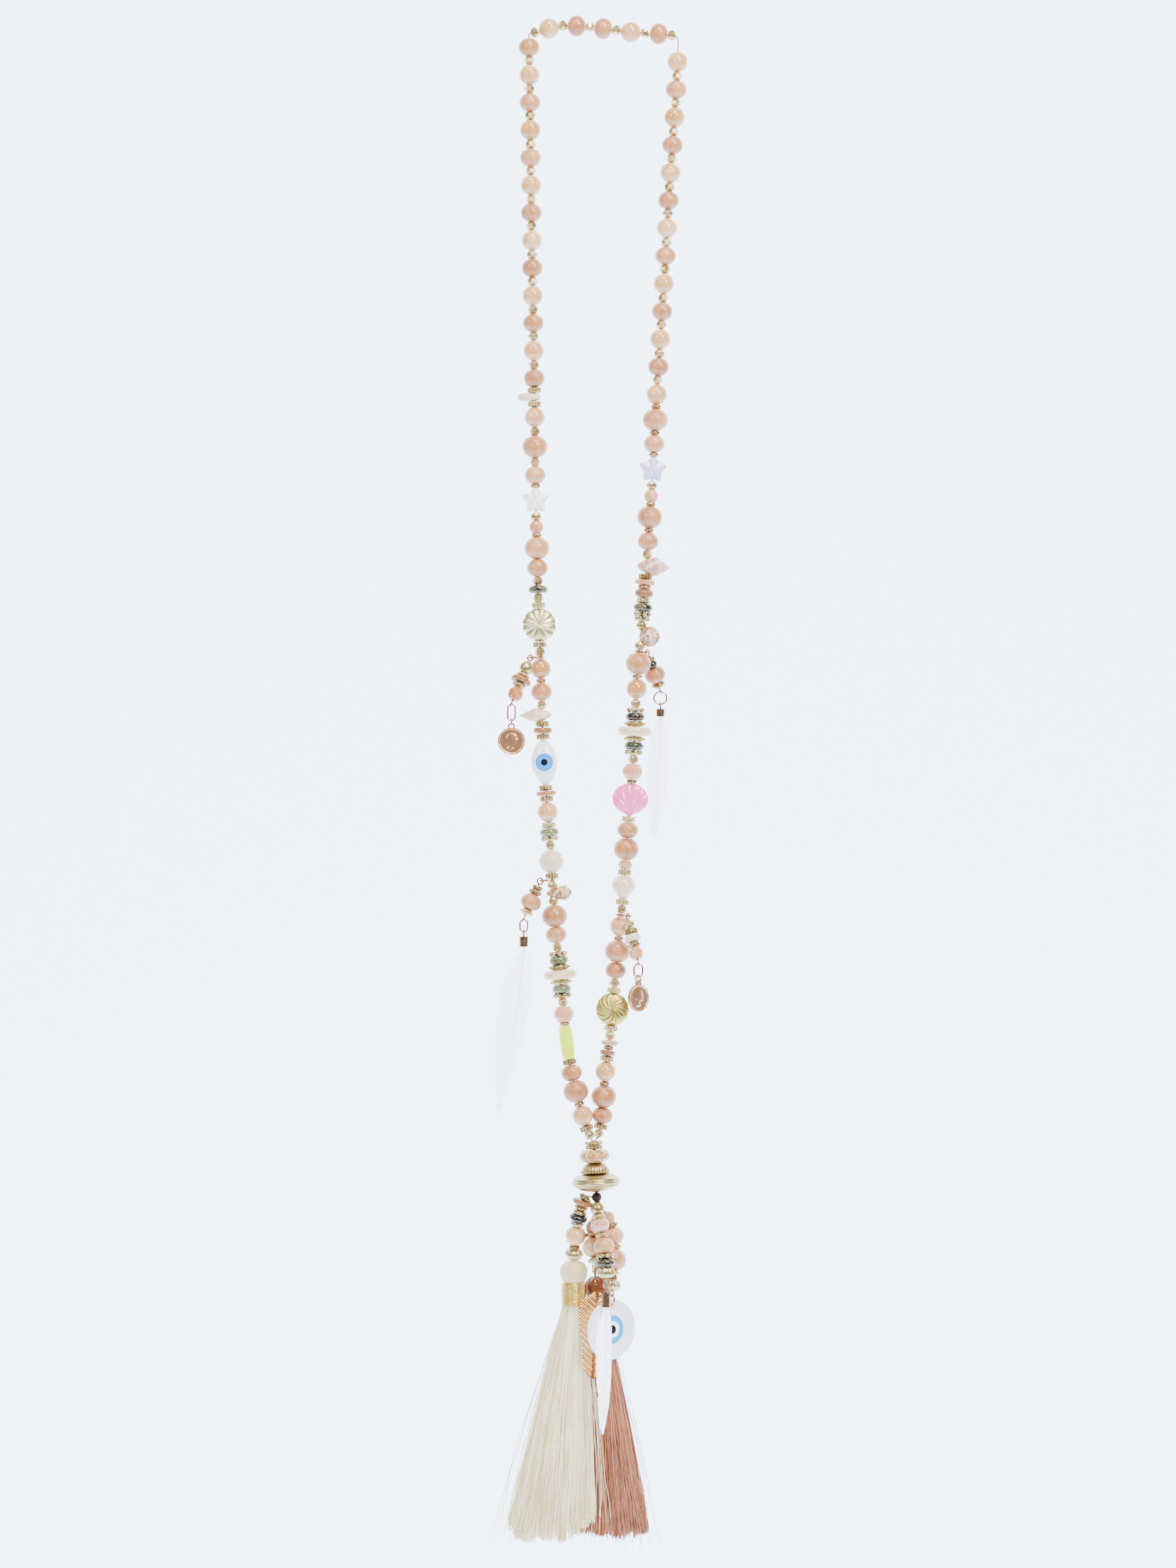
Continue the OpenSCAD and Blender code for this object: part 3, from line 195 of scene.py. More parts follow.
# Each kind: length along the thread, diameter
kinds = {
    "wood": (6.8, 8.2), "big wood": (8.4, 9.9), "low wood": (6.2, 8.2), "jade": (7.8, 8.1),
    "gold": (3.25, 3.8), "round gold": (4.6, 5.5), "ring": (1.5, 4.2), "flat gold": (1.6, 5.6),
    "seed": (2.1, 5.4), "small daisy": (1.7, 6.2), "grain": (2.2, 5.4), "daisy": (1.7, 7.4),
    "beaded": (2.1, 8.6), "melon": (4.1, 7.2), "rondelle": (3.1, 7.7), "bronze": (3.1, 7.7),
    "dark": (2.7, 7.2), "olive": (2.8, 4.6), "disc": (1.9, 8), "thick disc": (3, 7.4), "chip": (2.1, 7),
    "slice": (2.6, 7.2), "facet": (4.6, 5.3), "low facet": (3.4, 5.3), "big facet": (6, 7.6),
    "coral": (5.2, 5.6), "pebble": (5, 10.6), "clear": (3.2, 6.6), "howlite": (3.5, 13.3), "link": (0.8, 6.6),
    "petal": (3, 5.6), "star": (9.374, 10.9), "flower": (13.002, 13.2), "spiral": (4.4, 6.1),
    "eye": (17.6, 10.3), "pearl": (9.12, 9.6), "cone": (2.4, 6.1), "tube": (12.9, 5.6), "whelk": (5.6, 7.8),
    "ribbed": (4.4, 8.4), "scallop": (12.608, 14), "nugget": (9.2, 9.3), "swirl": (12.384, 12.9),
}


def bend(a, b, c, d, t):
    square, cube = 2 * a - 5 * b + 4 * c - d, 3 * b - a - 3 * c + d
    return 0.5 * (2 * b + (c - a) * t + square * t * t + cube * t ** 3)


def smoothed(points, steps=6):
    p = np.asarray(points, float)
    last = len(p) - 1
    out = [
        bend(p[max(i - 1, 0)], p[i], p[i + 1], p[min(i + 2, last)], k / steps)
        for i in range(last)
        for k in range(steps)
    ]
    return np.array(out + [p[last]])


def makeTrack(route):
    p = smoothed(route)
    return np.concatenate([[0], np.cumsum(np.linalg.norm(np.diff(p, axis=0), axis=1))]), p


def spot(track, s):
    return np.array([np.interp(s, track[0], track[1][:, i]) for i in range(3)])


def needed(beads):
    return sum(kinds[b][0] + beadGap for b in beads)


# Seats along a track: kind, centre, direction up the string. The slack is spread, or left on top.
def strung(track, beads, hang=0):
    slack = track[0][-1] - needed(beads)
    pitch = beadGap + (1 - hang) * slack / len(beads)
    stops = np.cumsum([hang * slack] + [kinds[b][0] + pitch for b in beads])
    p = [spot(track, s) for s in stops]
    return [(b, (p[i] + p[i + 1]) / 2, p[i] - p[i + 1]) for i, b in enumerate(beads)], p


loopFit = max(needed(strings[k]) / makeTrack(mainRoutes[k])[0][-1] for k in ("left", "right", "top"))
seats, stops, tracks = {}, {}, {}
for key, route in mainRoutes.items():
    tracks[key] = makeTrack(np.array(route) * loopFit)
    seats[key], stops[key] = strung(tracks[key], strings[key])


def down(s):
    return joinTop * loopFit + joinLean * s


# Middles of the join's beads and of the knot, down from its top
joinPlaces = dict(spacer=1.73, stone=5.91, cap=10.59, saucer=16.14, knot=22.12)
knotAt = down(joinPlaces["knot"])
for key, route in bunchRoutes.items():
    fit = max(1, needed(strings[key]) / makeTrack(route)[0][-1])
    tracks[key] = makeTrack(knotAt + np.array(route) * fit)
    seats[key], stops[key] = strung(tracks[key], strings[key], 1)

halves = dict(
    left=seats["left"] + seats["top"][:5],
    right=seats["right"] + seats["top"][5:],
    bunch=[s for key in bunchRoutes for s in seats[key]],
)
print("routes ready", round(loopFit, 5), [round(c, 2) for c in knotAt])


# A turn that takes a piece's own Z along the string and keeps its face to the front
def lean(up):
    return Euler((-math.asin(up[1] / np.linalg.norm(up)), math.atan2(up[0], up[2]), 0)).to_matrix()


def seatOf(where, name, nth=0):
    return [s for s in where if s[0] == name][nth]


# Side drops hang from jump rings round the thread
dropPins = dict(
    coinLeft=("left", 0, (-0.4, -0.34, -1), words("round_gold seed disc seed coral")),
    featherRight=("right", 0, (0.35, 0.42, -1), words("ring olive low_wood seed")),
    featherLeft=("left", 1, (-0.44, -0.2, -1), words("ring seed low_wood seed")),
    coinRight=("right", 1, (0.225, -0.4, -1), words("gold grain clear seed facet")),
)
pin = dict(ring=2.05, eye=2.9, drop=0.4, start=2.1)  # reach of ring and eye, lengths down the pin
halves["drops"] = []
for strand, nth, way, beads in dropPins.values():
    way = np.array(way)
    side = way * (1, 1, 0) / np.linalg.norm(way[:2])
    unit = way / np.linalg.norm(way)
    eye = seatOf(seats[strand], "link", nth)[1] + side * (pin["ring"] + pin["eye"]) + unit * pin["drop"]
    s = pin["start"]
    for b in beads:
        halves["drops"].append((b, eye + unit * (s + kinds[b][0] / 2), -way))
        s += kinds[b][0] + beadGap


# Short ways to set up a node with its links and values
def put(tree, kind, wires=None, **settings):
    made = tree.nodes.new(kind)
    for key, value in settings.items():
        setattr(made, key, value)
    for key, value in (wires or {}).items():
        if isinstance(value, bpy.types.Node):
            value = value.outputs[0]
        if isinstance(value, bpy.types.NodeSocket):
            tree.links.new(value, made.inputs[key])
        else:
            made.inputs[key].default_value = value
    return made


def calc(tree, operation, a, b, **settings):
    return put(tree, "ShaderNodeMath", {0: a, 1: b}, operation=operation, **settings)


def newTree(name, sockets, kind="GeometryNodeTree", results=(("Geometry", "NodeSocketGeometry"),)):
    tree = bpy.data.node_groups.new(name, kind)
    for label, socket, value in sockets:
        made = tree.interface.new_socket(name=label, in_out="INPUT", socket_type="NodeSocket" + socket)
        if value is not None:
            made.default_value = value
    for label, socket in results:
        tree.interface.new_socket(name=label, in_out="OUTPUT", socket_type=socket)
    return tree, tree.nodes.new("NodeGroupInput").outputs, tree.nodes.new("NodeGroupOutput").inputs


# Runs a tree on a mesh and keeps the result as a plain mesh
def grown(name, mesh, tree, **values):
    piece = bpy.data.objects.new(name, mesh)
    bpy.context.scene.collection.objects.link(piece)
    modifier = piece.modifiers.new(name, "NODES")
    modifier.node_group = tree
    for item in tree.interface.items_tree:
        if item.in_out == "INPUT" and item.name in values:
            modifier[item.identifier] = values[item.name]
    result = bpy.data.meshes.new_from_object(piece.evaluated_get(bpy.context.evaluated_depsgraph_get()))
    piece.modifiers.clear()
    piece.data = result
    result.name = name
    return piece


def onPiece(piece, body="necklace", nodes=()):
    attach(piece, body)
    if nodes:
        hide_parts(*nodes)
    return piece


def addPiece(name, mesh, finish, body="necklace", nodes=()):
    piece = bpy.data.objects.new(name, mesh)
    bpy.context.scene.collection.objects.link(piece)
    mesh.materials.clear()
    mesh.materials.append(finish)
    return onPiece(piece, body, nodes)


# Shader groups and finishes
def colour(*rgb):
    return tuple(c / 255 / 12.92 if c <= 10 else ((c / 255 + 0.055) / 1.055) ** 2.4 for c in rgb) + (1,)


def cloudGroup():
    tree, i, o = newTree("cloudMask", [("Vector", "Vector", None), ("Scale", "Float", 0.3),
                                       ("Detail", "Float", 3.0), ("Warp", "Float", 0.6)], "ShaderNodeTree",
                         (("Mask", "NodeSocketFloat"), ("Fine", "NodeSocketFloat")))
    soft = put(tree, "ShaderNodeTexNoise", {"Vector": i["Vector"], "Scale": i["Scale"], "Detail": i["Detail"],
                                            "Distortion": i["Warp"], "Roughness": 0.6})
    high = calc(tree, "MULTIPLY", i["Scale"], 9.0)
    fine = put(tree, "ShaderNodeTexNoise", {"Vector": i["Vector"], "Scale": high, "Detail": 4.0})
    tree.links.new(soft.outputs[0], o["Mask"])
    tree.links.new(fine.outputs[0], o["Fine"])
    return tree


def veinGroup():
    tree, i, o = newTree("veinMask", [("Vector", "Vector", None), ("Scale", "Float", 0.4),
                                      ("Warp", "Float", 1.2), ("Width", "Float", 0.06)], "ShaderNodeTree",
                         (("Mask", "NodeSocketFloat"),))
    push = put(tree, "ShaderNodeTexNoise", {"Vector": i["Vector"], "Scale": i["Scale"], "Detail": 3.0})
    shift = put(tree, "ShaderNodeVectorMath", {0: push.outputs["Color"], 1: (0.5, 0.5, 0.5)},
                operation="SUBTRACT")
    scaled = put(tree, "ShaderNodeVectorMath", {0: shift, "Scale": i["Warp"]}, operation="SCALE")
    moved = put(tree, "ShaderNodeVectorMath", {0: i["Vector"], 1: scaled})
    cells = put(tree, "ShaderNodeTexVoronoi", {"Vector": moved, "Scale": i["Scale"]},
                feature="DISTANCE_TO_EDGE")
    share = calc(tree, "DIVIDE", cells.outputs["Distance"], i["Width"], use_clamp=True)
    flip = calc(tree, "SUBTRACT", 1.0, share, use_clamp=True)
    tree.links.new(flip.outputs[0], o["Mask"])
    return tree


groups = dict(cloud=cloudGroup(), vein=veinGroup())


# A finish: colours over a cloud mask, then veins, streaks, gloss and relief, and, where asked, painted glow:
# the base colour emitted as light, so the piece looks brighter than the lamps make it.
# Lengths are millimetres; "tint" differs from bead to bead.
def finish(name, colours, scale=0.25, detail=3.0, warp=0.6, spread=0.35, rough=(0.3, 0.45), metal=0.0,
           bump=0.15, depth=0.12, vein=None, streak=None, coat=0.0, sheen=0.0, glow=0.0, paintedGlowAndBacklight=0.0,
           source="local", paintOn=None):
    stuff = bpy.data.materials.new(name)
    stuff.use_nodes = True
    tree = stuff.node_tree
    shader = tree.nodes["Principled BSDF"]
    link = tree.links.new
    if source == "local":
        place = put(tree, "ShaderNodeAttribute", attribute_name="local").outputs["Vector"]
        tint = put(tree, "ShaderNodeAttribute", attribute_name="tint").outputs["Fac"]
        offset = put(tree, "ShaderNodeCombineXYZ", {0: tint, 1: tint, 2: tint})
        far = put(tree, "ShaderNodeVectorMath", {0: offset, 1: (71, 37, 53)}, operation="MULTIPLY")
        vector = put(tree, "ShaderNodeVectorMath", {0: place, 1: far}).outputs[0]
    else:
        coords = put(tree, "ShaderNodeTexCoord").outputs["Object"]
        place = put(tree, "ShaderNodeMapping", {0: coords, "Scale": (1000, 1000, 1000)}).outputs[0]
        vector = place
        tint = None
    used = vector
    if streak:
        used = put(tree, "ShaderNodeMapping", {0: vector, "Scale": streak}).outputs[0]
    cloud = tree.nodes.new("ShaderNodeGroup")
    cloud.node_tree = groups["cloud"]
    link(used, cloud.inputs["Vector"])
    for key, value in (("Scale", scale), ("Detail", detail), ("Warp", warp)):
        cloud.inputs[key].default_value = value
    mask = cloud.outputs["Mask"]
    if tint is not None:
        half = calc(tree, "SUBTRACT", tint, 0.5)
        shift = calc(tree, "MULTIPLY", half, spread)
        mask = calc(tree, "ADD", mask, shift, use_clamp=True).outputs[0]
    ramp = put(tree, "ShaderNodeValToRGB", {0: mask})
    bar = ramp.color_ramp
    while len(bar.elements) < len(colours):
        bar.elements.new(0.5)
    for k, (where, rgb) in enumerate(colours):
        bar.elements[k].position = where
        bar.elements[k].color = colour(*rgb)
    shade = ramp.outputs[0]
    height = cloud.outputs["Fine"]
    if vein:
        lines = tree.nodes.new("ShaderNodeGroup")
        lines.node_tree = groups["vein"]
        link(vector, lines.inputs["Vector"])
        for key, value in zip(("Scale", "Warp", "Width"), vein["shape"]):
            lines.inputs[key].default_value = value
        part = calc(tree, "MULTIPLY", lines, vein["share"])
        shade = put(tree, "ShaderNodeMix", {0: part, 6: shade, 7: colour(*vein["paint"])},
                    data_type="RGBA").outputs[2]
        height = calc(tree, "SUBTRACT", height, lines).outputs[0]
    if paintOn:
        shade, height = paintOn(tree, place, shade, height)
    link(shade, shader.inputs["Base Color"])
    gloss = put(tree, "ShaderNodeMapRange",
                {"Value": cloud.outputs["Fine"], "To Min": rough[0], "To Max": rough[1]})
    link(gloss.outputs[0], shader.inputs["Roughness"])
    relief = put(tree, "ShaderNodeBump", {"Height": height, "Strength": bump, "Distance": depth * mm})
    link(relief.outputs[0], shader.inputs["Normal"])
    shader.inputs["Metallic"].default_value = metal
    if coat:
        shader.inputs["Coat Weight"].default_value = coat
        shader.inputs["Coat Roughness"].default_value = 0.08
    if sheen:
        shader.inputs["Sheen Weight"].default_value = sheen
        shader.inputs["Sheen Roughness"].default_value = 0.4
    # Painted glow: the base colour is also emitted, which brightens the piece as if more light fell on it.
    if paintedGlowAndBacklight:
        link(shade, shader.inputs["Emission Color"])
        shader.inputs["Emission Strength"].default_value = paintedGlowAndBacklight
    if glow:
        shader.inputs["Subsurface Weight"].default_value = glow
        shader.inputs["Subsurface Radius"].default_value = (1.2, 0.9, 0.7)
        shader.inputs["Subsurface Scale"].default_value = 1.5 * mm
    return stuff


# Painted rings round a point of the piece's own XZ plane: (radius, colour), from outside in
def paintedRings(centre, rings, soft=0.12):
    def paint(tree, place, shade, height):
        moved = put(tree, "ShaderNodeVectorMath", {0: place, 1: (-centre[0], 0, -centre[1])})
        flat = put(tree, "ShaderNodeVectorMath", {0: moved, 1: (1, 0, 1)}, operation="MULTIPLY")
        reach = put(tree, "ShaderNodeVectorMath", {0: flat}, operation="LENGTH").outputs["Value"]
        for radius, tone in rings:
            edge = put(tree, "ShaderNodeMapRange", {"Value": reach, "From Min": radius + soft,
                                                    "From Max": radius - soft})
            shade = put(tree, "ShaderNodeMix", {0: edge, 6: shade, 7: colour(*tone)},
                        data_type="RGBA").outputs[2]
            lift = calc(tree, "MULTIPLY", edge, 0.6)
            height = calc(tree, "ADD", height, lift).outputs[0]
        return shade, height
    return paint


# Several finishes below emit their base colour as painted glow. This makes howlite, the stars, shells, pearl,
# neon glass and cream silk look brighter than the lamps light them.
finishes = dict(
    wood=finish("peachWood", [(0.2, (170, 106, 62)), (0.55, (204, 138, 88)), (0.85, (222, 166, 118))],
                scale=0.3, streak=(1, 1, 0.35), rough=(0.3, 0.42), bump=0.03, coat=0.25, spread=0.45),
    jade=finish("peachJade", [(0.25, (200, 140, 80)), (0.6, (222, 166, 106)), (0.85, (236, 194, 142))],
                scale=0.18, rough=(0.08, 0.14), bump=0.02, glow=0.15, coat=0.5, spread=0.6),
    gold=finish("champagneGilt", [(0.3, (202, 176, 116)), (0.7, (236, 216, 162))], metal=1.0,
                rough=(0.26, 0.38), bump=0.04, spread=0.4),
    grained=finish("paleGilt", [(0.3, (146, 124, 76)), (0.5, (196, 174, 120)), (0.75, (230, 214, 166))],
                   metal=1.0, rough=(0.28, 0.42), bump=0.06, scale=0.5, spread=0.3),
    bronzed=finish("bronzeGilt", [(0.3, (150, 116, 74)), (0.7, (206, 170, 122))], metal=1.0,
                   rough=(0.26, 0.38), bump=0.05),
    facets=finish("peachFacets", [(0.3, (214, 140, 98)), (0.7, (230, 168, 130))], rough=(0.24, 0.4),
                  bump=0.03, glow=0.15, coat=0.2),
    coral=finish("coralFacets", [(0.3, (186, 104, 58)), (0.7, (212, 138, 90))], rough=(0.2, 0.32), bump=0.04,
                 glow=0.15, coat=0.3),
    green=finish("greenStone", [(0.3, (4, 24, 22)), (0.46, (12, 54, 42)), (0.6, (56, 92, 54)),
                                (0.8, (122, 134, 88))], scale=0.42, warp=1.6, rough=(0.08, 0.18), spread=1.1,
                 vein=dict(shape=(0.4, 2.4, 0.12), share=0.8, paint=(118, 84, 50)), coat=0.6),
    bronze=finish("bronzeStone", [(0.36, (14, 12, 8)), (0.46, (92, 80, 46)), (0.8, (168, 154, 104))],
                  scale=0.3, rough=(0.12, 0.24), coat=0.5, spread=0.2),
    dark=finish("darkStone", [(0.36, (12, 14, 18)), (0.6, (62, 60, 58)), (0.8, (150, 142, 124))], scale=0.5,
                rough=(0.12, 0.24), coat=0.5),
    disc=finish("peachDiscs", [(0.25, (150, 88, 48)), (0.55, (186, 126, 78)), (0.8, (216, 168, 120))],
                scale=0.4, rough=(0.22, 0.4), spread=0.8, bump=0.12),
    pebble=finish("creamPebble", [(0.3, (200, 140, 92)), (0.5, (230, 190, 146)), (0.75, (246, 230, 204))],
                  scale=0.2, warp=2.4, rough=(0.08, 0.16), coat=0.5, glow=0.15),
    clear=finish("clearCream", [(0.3, (234, 216, 178)), (0.7, (246, 236, 212))], rough=(0.06, 0.12), glow=0.3,
                 coat=0.5),
    howlite=finish("howliteStone", [(0.3, (230, 204, 156)), (0.7, (246, 230, 198))], scale=0.2,
                   rough=(0.2, 0.34), vein=dict(shape=(0.3, 1.8, 0.03), share=0.6, paint=(176, 142, 104)),
                   glow=0.1, paintedGlowAndBacklight=0.25, coat=0.3),
    star=finish("starStone", [(0.3, (240, 238, 238)), (0.7, (254, 253, 253))], rough=(0.08, 0.18), glow=0.3,
                paintedGlowAndBacklight=0.7, coat=0.5),
    lilac=finish("lilacQuartz", [(0.3, (202, 192, 240)), (0.7, (226, 220, 252))], rough=(0.08, 0.18),
                 glow=0.3, paintedGlowAndBacklight=0.5, coat=0.5),
    flower=finish("brightGold", [(0.3, (222, 204, 152)), (0.7, (244, 232, 192))], metal=1.0,
                  rough=(0.34, 0.44), bump=0.04, scale=0.4),
    swirl=finish("greenGold", [(0.3, (186, 170, 84)), (0.7, (222, 206, 122))], metal=1.0, rough=(0.34, 0.44),
                 bump=0.04, scale=0.4),
    whiteShell=finish("whiteShell", [(0.3, (226, 196, 162)), (0.5, (246, 232, 212)), (0.8, (254, 250, 242))],
                      scale=0.3, rough=(0.2, 0.32), glow=0.2, paintedGlowAndBacklight=0.3, coat=0.2),
    brownShell=finish("brownShell", [(0.24, (138, 92, 54)), (0.36, (212, 172, 128)), (0.46, (248, 236, 212))],
                      scale=0.42, warp=1.8, rough=(0.2, 0.32), coat=0.3),
    pinkShell=finish("pinkShell", [(0.28, (214, 150, 120)), (0.42, (242, 216, 200)), (0.6, (251, 243, 234))],
                     scale=0.3, warp=1.4, rough=(0.2, 0.32), glow=0.2, coat=0.3),
    scallop=finish("pinkScallop", [(0.3, (250, 104, 172)), (0.6, (252, 146, 202)), (0.85, (255, 196, 228))],
                   scale=0.16, rough=(0.2, 0.32), glow=0.3, paintedGlowAndBacklight=0.4, coat=0.4),
    pearl=finish("crackledPearl", [(0.3, (226, 208, 168)), (0.7, (248, 236, 206))], rough=(0.14, 0.3),
                 coat=0.6, vein=dict(shape=(0.8, 0.8, 0.1), share=0.45, paint=(206, 178, 128)), bump=0.5,
                 depth=0.25, glow=0.15, paintedGlowAndBacklight=0.3),
    neon=finish("neonGlass", [(0.3, (200, 226, 0)), (0.7, (226, 240, 0))], rough=(0.06, 0.14), glow=0.1,
                paintedGlowAndBacklight=1.0, coat=0.6),
    cap=finish("capGilt", [(0.3, (182, 158, 104)), (0.7, (222, 202, 150))], metal=1.0, rough=(0.26, 0.36),
               bump=0.04, scale=0.3),
    joinStone=finish("swirledStone", [(0.32, (192, 134, 76)), (0.45, (232, 204, 160)),
                                      (0.58, (248, 236, 210))], scale=0.13, warp=3.4, rough=(0.08, 0.16),
                     coat=0.6, glow=0.15),
    thread=finish("beigeThread", [(0.3, (178, 140, 104)), (0.7, (214, 184, 150))], scale=2.0,
                  rough=(0.6, 0.8), bump=0.3),
    knot=finish("knotCord", [(0.34, (62, 26, 14)), (0.5, (132, 62, 28)), (0.62, (216, 140, 48)),
                             (0.75, (228, 180, 130))], scale=0.5, rough=(0.5, 0.7), bump=0.3, spread=0.9),
    cream=finish("creamSilk", [(0.2, (220, 198, 142)), (0.5, (246, 232, 188)), (0.8, (255, 250, 224))],
                 scale=0.3, rough=(0.3, 0.44), sheen=0.3, paintedGlowAndBacklight=0.4, spread=0.9, bump=0.05),
    peach=finish("copperSilk", [(0.2, (150, 74, 36)), (0.5, (190, 110, 64)), (0.8, (216, 150, 104))],
                 scale=0.3, rough=(0.32, 0.48), sheen=0.25, spread=0.9, bump=0.05),
    goldThread=finish("woundGold", [(0.3, (196, 160, 70)), (0.7, (244, 220, 140))], metal=0.9,
                      rough=(0.2, 0.34), scale=0.8, bump=0.1),
    # Feather and quill emit their base colour strongly: painted glow that makes them look bright and lit from
    # behind.
    feather=finish("whiteFeather", [(0.25, (214, 222, 246)), (0.6, (230, 236, 254)), (0.85, (244, 248, 255))],
                   scale=0.08, rough=(0.5, 0.7), glow=0.2, paintedGlowAndBacklight=2.3, spread=0.3, bump=0.02),
    quill=finish("featherQuill", [(0.3, (240, 238, 232)), (0.7, (252, 250, 246))], rough=(0.3, 0.45),
                 glow=0.3, paintedGlowAndBacklight=1.2),
    crimp=finish("bronzeCrimp", [(0.3, (96, 66, 46)), (0.7, (178, 136, 104))], metal=1.0, rough=(0.26, 0.42),
                 bump=0.2, source="object", scale=0.8),
    wire=finish("roseWire", [(0.3, (170, 100, 66)), (0.7, (222, 158, 116))], metal=1.0, rough=(0.14, 0.26),
                source="object", bump=0.04),
)
print("finishes ready")

# Beads on the threads: one tree sets a shaped bead on every seat
beadTree, i, o = newTree("beadsOnThread", [("Geometry", "Geometry", None), ("Beads", "Collection", None),
                                           ("Seed", "Int", 3), ("Finish", "Material", None)])
pick = put(beadTree, "GeometryNodeInputNamedAttribute", {"Name": "pick"}, data_type="INT")
turnAt = put(beadTree, "GeometryNodeInputNamedAttribute", {"Name": "turn"}, data_type="FLOAT_VECTOR")
rack = put(beadTree, "GeometryNodeCollectionInfo", {"Collection": i["Beads"], "Separate Children": True,
                                                    "Reset Children": True})
spun = put(beadTree, "FunctionNodeEulerToRotation", {0: turnAt})
placed = put(beadTree, "GeometryNodeInstanceOnPoints",
             {"Points": i["Geometry"], "Instance": rack, "Pick Instance": True, "Instance Index": pick,
              "Rotation": spun})
chance = put(beadTree, "FunctionNodeRandomValue", {2: 0.0, 3: 1.0, 8: i["Seed"]}, data_type="FLOAT")
tinted = put(beadTree, "GeometryNodeStoreNamedAttribute",
             {"Geometry": placed, "Name": "tint", "Value": chance.outputs[1]}, domain="INSTANCE",
             data_type="FLOAT")
real = put(beadTree, "GeometryNodeRealizeInstances", {0: tinted})
dressed = put(beadTree, "GeometryNodeSetMaterial", {"Geometry": real, "Material": i["Finish"]})
beadTree.links.new(dressed.outputs[0], o[0])

# Small balls round a turned core, in one row or two
grainTree, i, o = newTree("grainRing", [("Geometry", "Geometry", None), ("Grains", "Int", 10),
                                        ("Reach", "Float", 2.2), ("Grain size", "Float", 0.6),
                                        ("Rows", "Int", 1), ("Row gap", "Float", 1.0),
                                        ("Finish", "Material", None)])
rowShift = put(grainTree, "ShaderNodeCombineXYZ", {2: i["Row gap"]})
rows = put(grainTree, "GeometryNodeMeshLine", {"Count": i["Rows"], "Offset": rowShift})
rowsLess = calc(grainTree, "ADD", i["Rows"], -1.0)
rowsHalf = calc(grainTree, "MULTIPLY", rowsLess, i["Row gap"])
rowsDown = calc(grainTree, "MULTIPLY", rowsHalf, -0.5)
rowsStart = put(grainTree, "ShaderNodeCombineXYZ", {2: rowsDown})
centred = put(grainTree, "GeometryNodeTransform", {0: rows, "Translation": rowsStart})
hoop = put(grainTree, "GeometryNodeMeshCircle", {"Vertices": i["Grains"], "Radius": i["Reach"]})
hoops = put(grainTree, "GeometryNodeInstanceOnPoints", {"Points": centred, "Instance": hoop})
grain = put(grainTree, "GeometryNodeMeshIcoSphere", {"Radius": i["Grain size"], "Subdivisions": 2})
smoothGrain = put(grainTree, "GeometryNodeSetShadeSmooth", {0: grain})
grains = put(grainTree, "GeometryNodeInstanceOnPoints",
             {"Points": put(grainTree, "GeometryNodeRealizeInstances", {0: hoops}), "Instance": smoothGrain})
both = grainTree.nodes.new("GeometryNodeJoinGeometry")
grainTree.links.new(grains.outputs[0], both.inputs[0])
grainTree.links.new(i["Geometry"], both.inputs[0])
real = put(grainTree, "GeometryNodeRealizeInstances", {0: both})
dressed = put(grainTree, "GeometryNodeSetMaterial", {"Geometry": real, "Material": i["Finish"]})
grainTree.links.new(dressed.outputs[0], o[0])


def asTemplate(mesh, name):
    shape = bpy.data.objects.new(name, mesh)
    n = len(mesh.vertices)
    co = np.zeros(n * 3)
    mesh.vertices.foreach_get("co", co)
    spotHere = mesh.attributes.get("local") or mesh.attributes.new("local", "FLOAT_VECTOR", "POINT")
    spotHere.data.foreach_set("vector", co / mm)
    return shape


def cutBead(d, l, sides):
    wide = d / math.cos(math.pi / sides)
    belt = l * 0.34
    section = [(0.6, -l / 2), (wide * 0.31, -l / 2), (wide * 0.5, -belt / 2), (wide * 0.5, belt / 2),
               (wide * 0.31, l / 2), (0.6, l / 2)]
    rings = []
    for k, (r, z) in enumerate(section):
        a = (np.arange(sides) + 0.5 * (k in (2, 3))) * 2 * math.pi / sides
        rings.append(np.stack([r * np.cos(a), r * np.sin(a), np.full(sides, z)], 1))
    verts, faces = loft(rings, cyclic=True)
    cut = []
    for f in faces:
        cut += [(f[0], f[1], f[2]), (f[0], f[2], f[3])]
    return verts, cut


def ribbedBead(d, l, ribs, rim=0.3, depth=0.09):
    def ripple(a, z):
        return 1 - depth * (1 - np.abs(np.cos(a * ribs / 2))) * (1 - (2 * z / l) ** 4)
    return turned(barrel(d, l, d * rim, steps=14), 8 * ribs, ripple=ripple)


granulated = {  # grains, reach, grain radius, rows, row gap, core diameter
    "grain": (12, 2.2, 0.56, 2, 0.95, 4.5),
    "seed": (11, 2.1, 0.6, 1, 1.0, 4.4),
    "daisy": (8, 2.75, 0.98, 1, 1.0, 4.2),
    "small daisy": (8, 2.3, 0.84, 1, 1.0, 3.6),
    "beaded": (20, 3.85, 0.5, 1, 1.0, 7.2),
}


